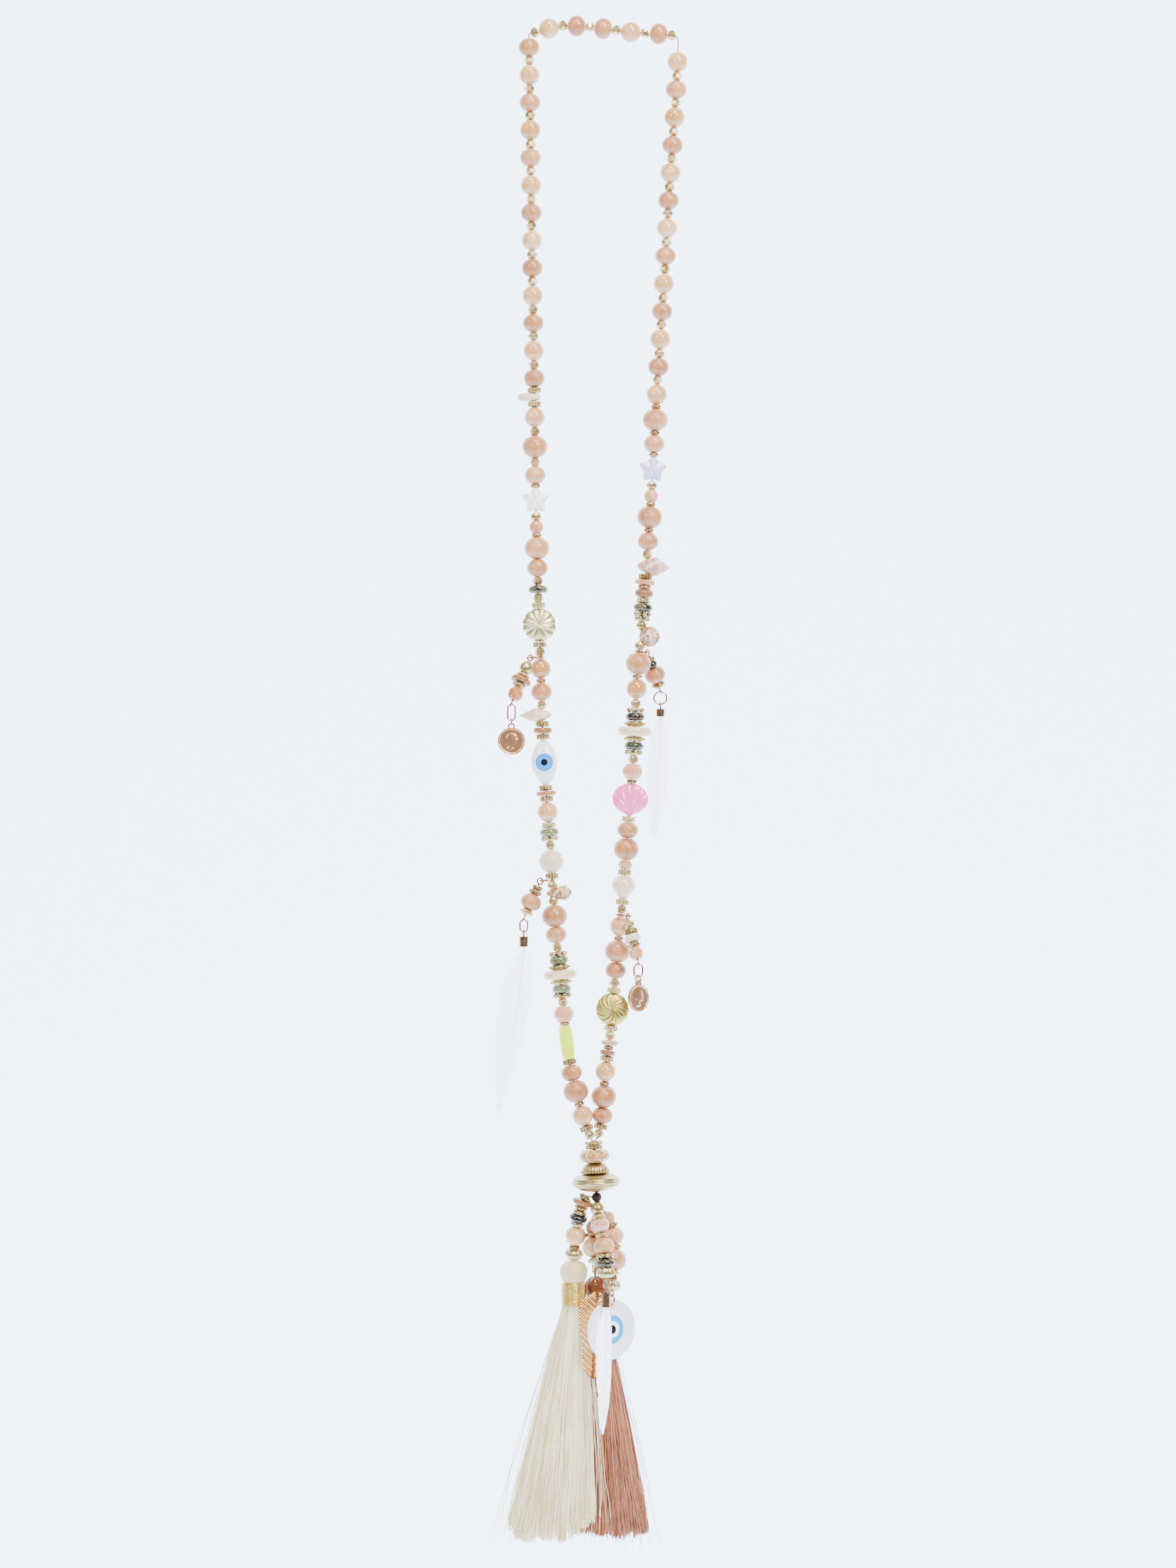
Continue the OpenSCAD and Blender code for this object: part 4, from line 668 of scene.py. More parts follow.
def shapeOf(kind):
    l, d = kinds[kind]
    if kind.endswith("wood"):
        return turned(barrel(d, l, d * 0.17, steps=14), 32)
    if kind == "jade":
        return turned(barrel(d, l, d * 0.12, steps=16), 36)
    if kind == "gold":
        return cutBead(d, l, 8)
    if kind.endswith("facet") or kind == "coral":
        return cutBead(d, l, 9 if d < 7 else 11)
    if kind == "melon":
        return ribbedBead(d, l, 14)
    if kind == "ring":
        return turned(barrel(d, l, d * 0.36, 1.4, 8), 24)
    if kind == "flat gold":
        return turned(barrel(d, l, d * 0.4, 1.4, 8), 28)
    if kind in ("chip", "slice"):
        verts, faces = turned(barrel(d, l - 0.4, d * 0.37, steps=8), 28)
        return dented(verts * (1, 0.86, 1), 0.22, 9, 5 + len(kind)), faces
    if kind == "pebble":
        verts, faces = turned(barrel(d, l, d * 0.2, steps=14), 36)
        return dented(verts * (1, 0.7, 1), 0.3, 12, 8), faces
    return turned(barrel(d, l, d * (0.4 if kind in ("disc", "howlite") else 0.28), steps=12), 32)


families = dict(  # kinds, finish, slot, smooth, node in each half
    woodBeads=(["wood", "big wood", "low wood"], "wood", "peach_wood", True,
               dict(left="wood_beads_left", right="wood_beads_right", bunch="cluster_wood",
                    drops="drop_wood")),
    jadeBeads=(["jade"], "jade", "peach_jade", True,
               dict(left="jade_beads_left", right="jade_beads_right", bunch="cluster_stones")),
    cutGoldBeads=(["gold"], "gold", "champagne_gilt", False,
                  dict(left="gold_beads_left", right="gold_beads_right", bunch="cluster_gold",
                       drops="drop_gold")),
    roundGoldBeads=(["round gold"], "gold", "champagne_gilt", True,
                    dict(bunch="cluster_gold", drops="drop_gold")),
    grainedSpacers=(["grain", "seed", "daisy", "small daisy", "beaded"], "grained", "pale_gilt", True,
                    dict(left="spacers_left", right="spacers_right", bunch="cluster_gold",
                         drops="drop_gold")),
    melonSpacers=(["melon"], "grained", "pale_gilt", True, dict(bunch="cluster_gold")),
    plainRings=(["ring", "flat gold"], "bronzed", "champagne_gilt", True, {}),
    peachFacets=(["facet", "low facet", "big facet"], "facets", "mixed_stone", False,
                 dict(left="stones_left", right="stones_right", bunch="cluster_stones", drops="drop_stones")),
    coralFacets=(["coral"], "coral", "mixed_stone", False, dict(drops="drop_stones")),
    greenRondelles=(["rondelle", "olive"], "green", "mixed_stone", True,
                    dict(left="stones_left", right="stones_right", bunch="cluster_stones",
                         drops="drop_stones")),
    bronzeDiscs=(["bronze"], "bronze", "mixed_stone", True, dict(left="stones_left", right="stones_right")),
    darkRondelles=(["dark"], "dark", "mixed_stone", True, dict(bunch="cluster_stones")),
    peachDiscs=(["disc", "thick disc", "chip", "slice"], "disc", "mixed_stone", True,
                dict(left="stones_left", right="stones_right", bunch="cluster_stones", drops="drop_stones")),
    creamPebbles=(["pebble"], "pebble", "mixed_stone", True, dict(bunch="cluster_stones")),
    clearBeads=(["clear"], "clear", "mixed_stone", True, dict(drops="drop_stones")),
)
for family, (members, look, slot, smooth, homes) in families.items():
    shelf = bpy.data.collections.new(family + "Shapes")
    for k, kind in enumerate(members):
        if kind in granulated:
            count, reach, size, rowCount, rowGap, core = granulated[kind]
            mesh = makeMesh(kind, *turned(barrel(core, kinds[kind][0], core * 0.36, 1.3, 8), 24))
            shape = grown("shape" + str(k), mesh, grainTree, Grains=count, Reach=reach * mm, Rows=rowCount,
                          Finish=finishes[look], **{"Grain size": size * mm, "Row gap": rowGap * mm})
            mesh = shape.data
            bpy.data.objects.remove(shape)
        else:
            mesh = makeMesh(kind, *shapeOf(kind), smooth)
        shelf.objects.link(asTemplate(mesh, f"{family}{k}"))
    for half, where in halves.items():
        here = [s for s in where if s[0] in members]
        if not here:
            continue
        points = makeMesh(family, [s[1] for s in here], [])
        turns, picks = [], []
        for k, s in enumerate(here):
            spin = Euler((0, 0, rng.uniform(0, 6.28))).to_matrix()
            turns += list((lean(s[2]) @ spin).to_euler())
            picks.append(members.index(s[0]))
        points.attributes.new("turn", "FLOAT_VECTOR", "POINT").data.foreach_set("vector", turns)
        points.attributes.new("pick", "INT", "POINT").data.foreach_set("value", picks)
        piece = grown(f"{family}_{half}", points, beadTree, Beads=shelf, Seed=len(here),
                      Finish=finishes[look])
        onPiece(piece, nodes=[homes[half]] if half in homes else [])
    for shape in list(shelf.objects):
        bpy.data.objects.remove(shape)
    bpy.data.collections.remove(shelf)
print("beads strung")

# Single beads, each shaped round its own bore
def onSeat(name, shape, seat, look, nodes):
    verts, faces = shape
    turn = np.array(lean(seat[2]))
    mesh = makeMesh(name, np.asarray(verts) @ turn.T + seat[1], faces, local=verts)
    return addPiece(name, mesh, finishes[look], nodes=nodes)


# Puffed disc in the XZ plane, with its rim from reach(angle) and its half thickness from half(angle, share)
def puffed(reach, half, n=144, levels=16):
    a = np.arange(n) * 2 * math.pi / n
    steps = np.sin(np.linspace(0.03, 1, levels) * math.pi / 2)
    rings = []
    for side in (-1, 1):
        for f in steps[::-side] if side > 0 else steps:
            rings.append(np.stack([reach(a) * f * np.sin(a), side * half(a, f), reach(a) * f * np.cos(a)], 1))
    return loft(rings)


def reliefOf(t, ridges, depth, turn=0.0, centre=None):
    def half(a, f):
        crest = np.abs(np.sin(ridges * (a - math.radians(turn) * f) / 2))
        puff = t / 2 * math.sqrt(1 - 0.9 * f * f) * (1 - depth * min(1, 2 * f) * (1 - crest))
        return puff if centre is None else puff - centre[1] * math.exp(-((f / centre[0]) ** 2))
    return half


# Shell that winds round X: radii along X, whorls with sharp seams, and fine ribs
def wound(profile, whorls, seam, ribs=0, rib=0.0, n=40):
    p = smoothed([(x, r, 0) for x, r in profile], 5)
    rings = []
    a = np.arange(n) * 2 * math.pi / n
    for i, (x, r, _) in enumerate(p):
        share = i / (len(p) - 1)
        q = r * (1 - 2 * seam * (1 - np.abs(np.sin((whorls * 2 * math.pi * share - a) / 2))))
        if ribs:
            q = q * (1 - rib * (1 - np.abs(np.sin(ribs * a / 2 + 3 * share))))
        rings.append(np.stack([np.full(n, x), q * np.cos(a), q * np.sin(a)], 1))
    return loft(rings)


def starShape(size=10.9, t=4.8):
    corner = [(size * (0.54 if k % 2 == 0 else 0.345), math.pi * k / 5) for k in range(11)]

    def reach(a):
        out = []
        for v in a % (2 * math.pi):
            k = int(v // (math.pi / 5))
            (r0, a0), (r1, a1) = corner[k], corner[k + 1]
            out.append(r0 * r1 * math.sin(a1 - a0) / (r0 * math.sin(v - a0) + r1 * math.sin(a1 - v)))
        return np.minimum(out, size * 0.49)

    def half(a, f):
        crest = np.abs(np.cos(2.5 * a))
        return t / 2 * (1 - 0.62 * f) * (1 - 0.22 * min(1, 2 * f) * (1 - crest))
    return puffed(reach, half, 120, 12)


def eyeShape(w=10.3, l=17.6, t=6.4, ball=22, rim=1.1):
    inset = w / 2 - rim
    arc = (inset * inset + l * l / 4) / (2 * inset)
    a = np.arange(48) * 2 * math.pi / 48
    rings = []
    for z in l / 2 * np.sin(np.linspace(-1, 1, 36) * math.pi / 2):
        wide = w / 2 - arc + math.sqrt(arc * arc - z * z)
        thick = min(wide, math.sqrt(ball * ball - z * z) - ball + t / 2)
        rings.append(np.stack([wide * np.cos(a), thick * np.sin(a), np.full(48, z)], 1))
    return loft(rings)


def fanReach(w=14, h=12.8):
    halfW, halfH, pole, rise = w / 2, h * 0.477, h * 0.344, h * 0.375

    def reach(a):
        c = (np.sin(a) / halfW) ** 2 + (np.cos(a) / halfH) ** 2
        b = rise * np.cos(a) / halfH ** 2
        fan = (b + np.sqrt(b * b + c * (1 - (rise / halfH) ** 2))) / c
        return np.maximum(fan, h / 2 - pole) * (1 - 0.012 * (1 - np.abs(np.sin(9 * a))))
    return reach


def moved(shape, offset=(0, 0, 0), spin=0.0):
    verts = np.asarray(shape[0]) @ np.array(Matrix.Rotation(spin, 3, "Z")).T
    return verts + offset, shape[1]


def petalShape(l=3.0):
    a = np.arange(40) * 2 * math.pi / 40
    x = -2.2 + 4.5 * np.cos(a)
    y = 2.4 * np.sin(a) * np.where(np.cos(a) > 0, 1, np.sqrt(np.clip(1 - 0.55 * np.cos(a) ** 2, 0, 1)))
    rings = []
    for s, z in ((0.02, -0.5), (0.6, -0.48), (0.85, -0.4), (0.96, -0.26), (1, 0), (0.96, 0.26), (0.85, 0.4),
                 (0.6, 0.48), (0.02, 0.5)):
        rings.append(np.stack([-2.2 + (x + 2.2) * s, y * s, np.full(40, z * l)], 1))
    return loft(rings)


def nuggetShape():
    curve = smoothed([(1.7, -4.6, 0), (2.5, -3.2, 0), (3.9, -1.2, 0), (4.6, 0.4, 0), (4.5, 1.7, 0),
                      (3.6, 3.2, 0), (2.2, 4.6, 0)], 5)
    section = [(0.6, -4.3), (0.9, -4.6)] + [(r, z) for r, z, _ in curve] + [(0.9, 4.6), (0.6, 4.3)]
    return turned(section, 60, ripple=lambda a, z: 1 - 0.03 * (1 - np.abs(np.cos(a * 3))))


def petalledDisc(r, petals, scoop, relief):
    return puffed(lambda a: r * (1 - scoop + scoop * np.abs(np.sin(petals * a))), relief, 168)


# Shells that wind round X: (place, radius) from the tip to the mouth
shellLines = dict(
    spiral=[(-8.9, 0.3), (-7.5, 0.95), (-5.8, 1.8), (-4, 2.6), (-2.4, 3.05), (-0.9, 2.75), (0.4, 2.2),
            (1.5, 1.8), (2.7, 1.3), (3.6, 0.6)],
    cone=[(-2.5, 0.6), (-1.2, 1.3), (0, 1.85), (2, 2.5), (4, 2.95), (5.2, 3.05), (6, 2.3), (6.8, 1.3),
          (7.5, 0.4)],
    whelk=[(-3.4, 0.7), (-2, 1.9), (0, 2.75), (1.8, 3.6), (3.4, 3.9), (4.8, 3.5), (6.2, 2.5), (7.6, 1.5),
           (8.8, 0.7), (9.3, 0.3)],
    ribbed=[(-2.4, 1.5), (-1.6, 3.3), (0, 4.2), (1.3, 3.7), (2.4, 2.6), (3.3, 1.4), (3.9, 0.5)],
)
singleShapes = dict(
    petal=petalShape(),
    star=starShape(),
    flower=petalledDisc(6.6, 6, 0.06, reliefOf(6.4, 12, 0.13, 0, (0.14, 0.4))),
    swirl=petalledDisc(6.45, 7, 0.035, reliefOf(6.2, 14, 0.13, 50)),
    scallop=moved(puffed(fanReach(), reliefOf(5, 18, 0.14), 180), (0, 0, -12.8 * 0.344)),
    spiral=wound(shellLines["spiral"], 4.5, 0.07),
    eye=eyeShape(),
    pearl=turned(barrel(9.6, 9.12, 1.5, steps=20), 48),
    cone=wound(shellLines["cone"], 3, 0.04),
    howlite=turned(barrel(13.3, 3.5, 5.32, steps=10), 48),
    tube=turned(barrel(5.6, 12.9, 2.35, steps=20), 40),
    whelk=wound(shellLines["whelk"], 4, 0.06),
    ribbed=moved(wound(shellLines["ribbed"], 3, 0.05, 14, 0.05), (3.6, 0, 0), -math.pi / 2),
    nugget=nuggetShape(),
)
singles = [  # name, strand, kind, finish, node, slot
    ("petalBead", "left", "petal", "whiteShell", "petal_left", "pink_shell"),
    ("whiteStar", "left", "star", "star", "star_left", "star_stone"),
    ("lilacStar", "right", "star", "lilac", "star_right", "star_stone"),
    ("goldFlower", "left", "flower", "flower", "flower_bead", "gold_shell"),
    ("swirlBead", "right", "swirl", "swirl", "swirl_bead", "gold_shell"),
    ("scallopBead", "right", "scallop", "scallop", "scallop_bead", "pink_shell"),
    ("spiralShell", "left", "spiral", "whiteShell", "spiral_shell", "white_shell"),
    ("eyeBead", "left", "eye", "eyeGlass", "eye_bead", "eye_glass"),
    ("cottonPearl", "left", "pearl", "pearl", "cotton_pearl", "pearl_white"),
    ("coneShell", "left", "cone", "brownShell", "cone_shell", "brown_shell"),
    ("howliteLeft", "left", "howlite", "howlite", "howlite_left", "howlite"),
    ("howliteRight", "right", "howlite", "howlite", "howlite_right", "howlite"),
    ("neonTube", "left", "tube", "neon", "yellow_tube", "neon_glass"),
    ("whelkShell", "right", "whelk", "pinkShell", "whelk_shell", "pink_shell"),
    ("ribbedShell", "right", "ribbed", "brownShell", "ribbed_shell", "brown_shell"),
    ("turnipNugget", "right", "nugget", "howlite", "howlite_nugget", "howlite"),
]
eyeRings = [(3.4, (0, 104, 200)), (3.0, (14, 156, 232)), (1.3, (6, 10, 20))]  # radius, colour
# The eye bead's white glass, with its painted eye, also carries a faint painted glow.
finishes["eyeGlass"] = finish("eyeGlass", [(0.3, (236, 244, 250)), (0.7, (250, 253, 255))],
                              rough=(0.06, 0.12), bump=0.03, glow=0.3, paintedGlowAndBacklight=0.3, coat=0.6,
                              paintOn=paintedRings((0, 0), eyeRings))
for name, strand, kind, look, node, slot in singles:
    onSeat(name, singleShapes[kind], seatOf(seats[strand], kind), look, [node])
print("single beads set")

# Join: stacked beads that lean with the strands
joinSeat = {key: ("join", down(s), -joinLean) for key, s in joinPlaces.items()}
twinHole = 2 * float(np.linalg.norm(twin)) + 1.0


def ringed(name, core, seat, look, rows):
    turn = np.array(lean(seat[2]))
    mesh = makeMesh(name, core[0], core[1])
    for count, reach, size, z in rows:
        lift = np.array([0, 0, z])
        part = grown("grains", makeMesh("grains", np.zeros((0, 3)), []), grainTree, Grains=count,
                     Reach=reach * mm, Rows=1, Finish=finishes[look],
                     **{"Grain size": size * mm, "Row gap": 0.001})
        work = bmesh.new()
        work.from_mesh(mesh)
        before = len(work.verts)
        work.from_mesh(part.data)
        work.verts.ensure_lookup_table()
        for v in work.verts[before:]:
            v.co = v.co + Vector(lift * mm)
        work.to_mesh(mesh)
        work.free()
        bpy.data.objects.remove(part)
    n = len(mesh.vertices)
    co = np.zeros(n * 3)
    mesh.vertices.foreach_get("co", co)
    mesh.attributes["local"].data.foreach_set("vector", co / mm)
    co = co.reshape(-1, 3) @ turn.T + np.array(seat[1]) * mm
    mesh.vertices.foreach_set("co", co.ravel())
    mesh.polygons.foreach_set("use_smooth", [True] * len(mesh.polygons))
    mesh.update()
    return mesh


capSection = [(0, 0.62), (4.2, 0.2), (5.0, 0.2), (5.2, 0.4), (5.2, 0.9), (5.15, 1.5), (5, 2.1), (4.6, 2.7),
              (4.1, 3.1), (3, 3.8), (2, 4.2), (0, 4.2)]
cap = turned([(max(twinHole / 2, r), z - 2.1) for r, z in capSection], 144,
             ripple=lambda a, z: 1 - (0.05 * (1 - np.abs(np.cos(a * 12))) if z > -0.9 else 0))
saucerSection = [(twinHole / 2, -3.79)]
for a in np.radians(np.arange(-80, 81, 2.5)):
    ripple = 1 - 0.045 * (1 - abs(math.cos(a * 7.5)) ** 0.7)
    saucerSection.append((9.7 * math.cos(a) * ripple, 3.85 * math.sin(a) * ripple))
saucerSection.append((twinHole / 2, 3.79))
joinPieces = [
    ("joinSpacer", turned(barrel(5.6, 3.2, 1.4, twinHole), 40), "spacer", "cap",
     [(14, 2.92, 0.62, -0.85), (14, 2.92, 0.62, 0.85)], "join_spacer", "pale_gilt"),
    ("joinStone", turned(barrel(12, 4.9, 3.24, twinHole, 18), 60), "stone", "joinStone", [], "join_stone",
     "join_stone"),
    ("domeCap", cap, "cap", "cap", [(28, 5.2, 0.55, -1.5)], "dome_cap", "cap_gilt"),
    ("saucerBead", turned(saucerSection, 96), "saucer", "cap", [], "saucer_bead", "cap_gilt"),
]
for name, core, place, look, rows, node, slot in joinPieces:
    addPiece(name, ringed(name, core, joinSeat[place], look, rows), finishes[look], nodes=[node])


# Round cord swept along points in millimetres; its pattern runs along it
def tube(path, d, sides=8):
    path = np.asarray(path, float)
    n = len(path)
    heading = np.gradient(path, axis=0)
    heading /= np.linalg.norm(heading, axis=1)[:, None]
    side = np.cross(heading[0], (0, 1, 0) if abs(heading[0][1]) < 0.9 else (1, 0, 0))
    wide = np.broadcast_to(d, (n,)) / 2
    a = np.arange(sides) * 2 * math.pi / sides
    rings = []
    for i in range(n):
        side = side - heading[i] * side.dot(heading[i])
        side /= np.linalg.norm(side)
        fore = np.cross(heading[i], side)
        rings.append(path[i] + wide[i] * (np.outer(np.cos(a), side) + np.outer(np.sin(a), fore)))
    return loft(rings)


def merged(shapes):
    verts, faces, count = [], [], 0
    for v, f in shapes:
        verts.append(np.asarray(v))
        faces += [tuple(int(i) + count for i in face) for face in f]
        count += len(v)
    return np.concatenate(verts), faces


threadD, knotD = 0.6, 4.0
inner = down(joinPlaces["knot"] - knotD * 0.3)
corners = dict(left=np.array([-29.7, 0, -1.2]), right=np.array([28.9, 0, -4]))
loop = [inner - twin, down(0.04) - twin] + stops["left"][::-1] + [corners["left"] * loopFit] \
    + stops["top"] + [corners["right"] * loopFit] + stops["right"] + [down(0.04) + twin, inner + twin]
addPiece("loopThread", makeMesh("loopThread", *tube(loop, threadD)), finishes["thread"], nodes=["thread"])
eyeR, frontDrop = 1.0, 2.0


def tiedEye(end, drop=0.5):
    a = np.radians(np.arange(60, -255, -15))
    ring = np.stack([np.cos(a), 0 * a, np.sin(a) - 1], 1) * eyeR
    return list(end + ring - (0, 0, drop))


foot = {key: spot(tracks[key], tracks[key][0][-1]) for key in bunchRoutes}
ends = dict(cream=[foot["cream"] - (0, 0, 3)], peach=[foot["peach"] - (0, 0, 3)],
            front=tiedEye(foot["front"], frontDrop), leaf=tiedEye(foot["leaf"]), disc=tiedEye(foot["disc"]))
cords = []
for key in bunchRoutes:
    top = spot(tracks[key], 0)
    cords.append(tube([knotAt + (top - knotAt) * 0.7] + stops[key] + ends[key], threadD))
addPiece("bunchThreads", makeMesh("bunchThreads", *merged(cords)), finishes["thread"],
         nodes=["cluster_threads"])

# Knot: the cords wound over and over, in three tilted coils
knot = dict(reach=1.55, cord=0.82, turns=3, spread=0.62)
coils = []
for tilt, start in ((0.35, 0.0), (-0.5, 1.3), (1.1, 2.6)):
    way = np.array(Euler((tilt, 0.3 * start, 0)).to_matrix())
    a = np.linspace(0, 2 * math.pi * knot["turns"], 73) + start
    high = np.linspace(-knot["spread"], knot["spread"], 73)
    r = knot["reach"]
    coil = np.stack([r * np.cos(a) * np.cos(high), r * np.sin(a) * np.cos(high), r * np.sin(high)], 1)
    coils.append(tube(coil @ way.T, knot["cord"], 8))
ballShape = turned([(0.02, -1.3), (0.9, -1.0), (1.3, 0), (0.9, 1.0), (0.02, 1.3)], 16)
knotShape = merged([ballShape] + coils)
addPiece("knotWinding", makeMesh("knotWinding", knotShape[0] + knotAt, knotShape[1], local=knotShape[0]),
         finishes["knot"], nodes=["knot"])
print("join and threads set")

# Strands: bent hairs from root to tip, for the tassels and the feathers
strandTree, i, o = newTree("strands", [("Geometry", "Geometry", None), ("Steps", "Int", 12),
                                       ("Thickness", "Float", 0.0003), ("Thin tip", "Float", 0.5),
                                       ("Wave", "Float", 0.0005), ("Wave size", "Float", 60.0),
                                       ("Sides", "Int", 4), ("Finish", "Material", None)])
straight = put(strandTree, "GeometryNodeCurvePrimitiveLine", {"Start": (0, 0, 0), "End": (0, 0, 0.001)})
stepped = put(strandTree, "GeometryNodeResampleCurve", {"Curve": straight, "Count": i["Steps"]})
hairs = put(strandTree, "GeometryNodeInstanceOnPoints", {"Points": i["Geometry"], "Instance": stepped})
real = put(strandTree, "GeometryNodeRealizeInstances", {0: hairs})
share = put(strandTree, "GeometryNodeSplineParameter").outputs["Factor"]
bendAt = {}
for key in ("root", "middle", "tip"):
    bendAt[key] = put(strandTree, "GeometryNodeInputNamedAttribute", {"Name": key}, data_type="FLOAT_VECTOR")
low = put(strandTree, "ShaderNodeMix", {0: share, 4: bendAt["root"], 5: bendAt["middle"]}, data_type="VECTOR")
high = put(strandTree, "ShaderNodeMix", {0: share, 4: bendAt["middle"], 5: bendAt["tip"]}, data_type="VECTOR")
bent = put(strandTree, "ShaderNodeMix", {0: share, 4: low.outputs[1], 5: high.outputs[1]}, data_type="VECTOR")
spread = put(strandTree, "GeometryNodeInputNamedAttribute", {"Name": "tint"}, data_type="FLOAT")
apart = calc(strandTree, "MULTIPLY", spread, 40.0)
noise = put(strandTree, "ShaderNodeTexNoise", {"Vector": bent.outputs[1], "W": apart, "Scale": i["Wave size"],
                                               "Detail": 1.0}, noise_dimensions="4D")
centred = put(strandTree, "ShaderNodeVectorMath", {0: noise.outputs["Color"], 1: (0.5, 0.5, 0.5)},
              operation="SUBTRACT")
reachNow = calc(strandTree, "MULTIPLY", i["Wave"], share)
sway = put(strandTree, "ShaderNodeVectorMath", {0: centred, "Scale": reachNow}, operation="SCALE")
final = put(strandTree, "ShaderNodeVectorMath", {0: bent.outputs[1], 1: sway})
seated = put(strandTree, "GeometryNodeSetPosition", {"Geometry": real, "Position": final})
thin = put(strandTree, "ShaderNodeMapRange",
           {"Value": share, "From Min": 0.55, "To Min": 1.0, "To Max": i["Thin tip"]})
girth = calc(strandTree, "MULTIPLY", thin, i["Thickness"])
widened = put(strandTree, "GeometryNodeSetCurveRadius", {"Curve": seated, "Radius": girth})
ring = put(strandTree, "GeometryNodeCurvePrimitiveCircle", {"Resolution": i["Sides"], "Radius": 1.0})
skin = put(strandTree, "GeometryNodeCurveToMesh",
           {"Curve": widened, "Profile Curve": ring, "Fill Caps": True})
if "Scale" in skin.inputs:  # where the sweep takes the curve's radius by a link
    strandTree.links.new(put(strandTree, "GeometryNodeInputRadius").outputs[0], skin.inputs["Scale"])
here = put(strandTree, "GeometryNodeInputPosition")
inMm = put(strandTree, "ShaderNodeVectorMath", {0: here, "Scale": 1000.0}, operation="SCALE")
noted = put(strandTree, "GeometryNodeStoreNamedAttribute", {"Geometry": skin, "Name": "local", "Value": inMm},
            domain="POINT", data_type="FLOAT_VECTOR")
soft = put(strandTree, "GeometryNodeSetShadeSmooth", {0: noted})
dressed = put(strandTree, "GeometryNodeSetMaterial", {"Geometry": soft, "Material": i["Finish"]})
strandTree.links.new(dressed.outputs[0], o[0])


def strands(name, root, middle, tip, tints, look, **values):
    points = makeMesh(name, root, [])
    for key, value in (("root", root), ("middle", middle), ("tip", tip)):
        points.attributes.new(key, "FLOAT_VECTOR", "POINT").data.foreach_set(
            "vector", (np.asarray(value) * mm).ravel())
    points.attributes.new("tint", "FLOAT", "POINT").data.foreach_set("value", tints)
    return grown(name, points, strandTree, Finish=finishes[look], **values)


tassel = dict(headH=8.6, headD=11.0, bandH=9.0, bandD=9.9, hemW=35.0, hemDepth=9.0, neck=4.1, strands=1700,
              loose=70, locks=14, strandD=0.26, hairD=0.13, windings=19, yarnD=0.56)
skirtTop = tassel["headH"] + tassel["bandH"]


# Skirt: strands that leave the band in locks and end in a ragged hem, and a few hairs that stray
def dressSkirt(key, look, top, side, length, nodes, seed):
    draw = np.random.default_rng(seed)
    t, count, loose = tassel, tassel["strands"], tassel["loose"]
    a = draw.uniform(0, 2 * math.pi, count)
    a = a + 0.13 * np.sin(t["locks"] * a + seed)
    deep = np.sqrt(draw.uniform(0.45, 1, count))
    lock = np.floor((a % (2 * math.pi)) * t["locks"] / (2 * math.pi)).astype(int)
    ragged = draw.uniform(-2.6, 2.6, t["locks"] + 1)[lock] + draw.normal(0, 0.9, count)
    drop = skirtTop + length + np.clip(ragged, -3.4, 3.4)
    neck = np.stack([np.cos(a), np.sin(a), 0 * a], 1) * ((t["neck"] - 0.35) * deep)[:, None]
    root = top + neck - np.outer(np.full(count, skirtTop - 1.5), (0, 0, 1))
    wideAt = np.stack([np.cos(a) * (t["hemW"] / 2 - 0.4), np.sin(a) * (t["hemDepth"] / 2 - 0.2), 0 * a], 1)
    out = wideAt[:, 0] * deep / (t["hemW"] / 2)
    drop = drop - 6.5 * out ** 2 + 2.5 * out * np.sign(side[0])
    tip = top + wideAt * deep[:, None] + side - np.outer(drop, (0, 0, 1))
    middle = (root + tip) / 2 + draw.normal(0, 1, (count, 3)) * (0.8, 0.35, 0.1) + neck * 0.12
    skirt = strands(key + "Skirt", root, middle, tip, draw.uniform(0, 1, count), look, Steps=13,
                    Thickness=t["strandD"] * mm, Wave=5.0 * mm, Sides=3,
                    **{"Thin tip": 0.6, "Wave size": 30.0})
    onPiece(skirt, nodes=nodes)
    pick = draw.choice(count, loose, replace=False)
    stray = tip[pick] + draw.normal(0, 1, (loose, 3)) * (3.2, 1.2, 4) + wideAt[pick] * 0.16
    stray[:, 2] = np.maximum(stray[:, 2], (top - (0, 0, skirtTop + length + 3))[2])
    bow = (root[pick] + stray) / 2 + wideAt[pick] * draw.uniform(-0.05, 0.3, (loose, 1))
    hairs = strands(key + "LooseHairs", root[pick], bow, stray, draw.uniform(0.4, 1, loose), look, Steps=18,
                    Thickness=t["hairD"] * mm, Wave=7.0 * mm, Sides=3, **{"Thin tip": 0.7, "Wave size": 36.0})
    onPiece(hairs, nodes=nodes)


# Core: a fluted body that keeps light from passing through the skirt
def coreShape(top, side, length):
    t = tassel
    rings = []
    b = np.arange(56) * 2 * math.pi / 56
    fold = 1 - 0.06 * (1 - np.cos(t["locks"] * b))
    for f in np.linspace(0, 0.97, 12):
        w = (t["neck"] + (t["hemW"] / 2 - t["neck"]) * (1 - (1 - f) ** 1.5) * (0.55 + 0.45 * f)) * 0.8
        d = (t["neck"] + (t["hemDepth"] / 2 - t["neck"]) * f) * 0.72
        rings.append(top + np.stack([w * fold * np.cos(b), d * fold * np.sin(b), 0 * b], 1) + side * f
                     - np.array([0, 0, skirtTop + f * length * 0.97]))
    return loft(rings)


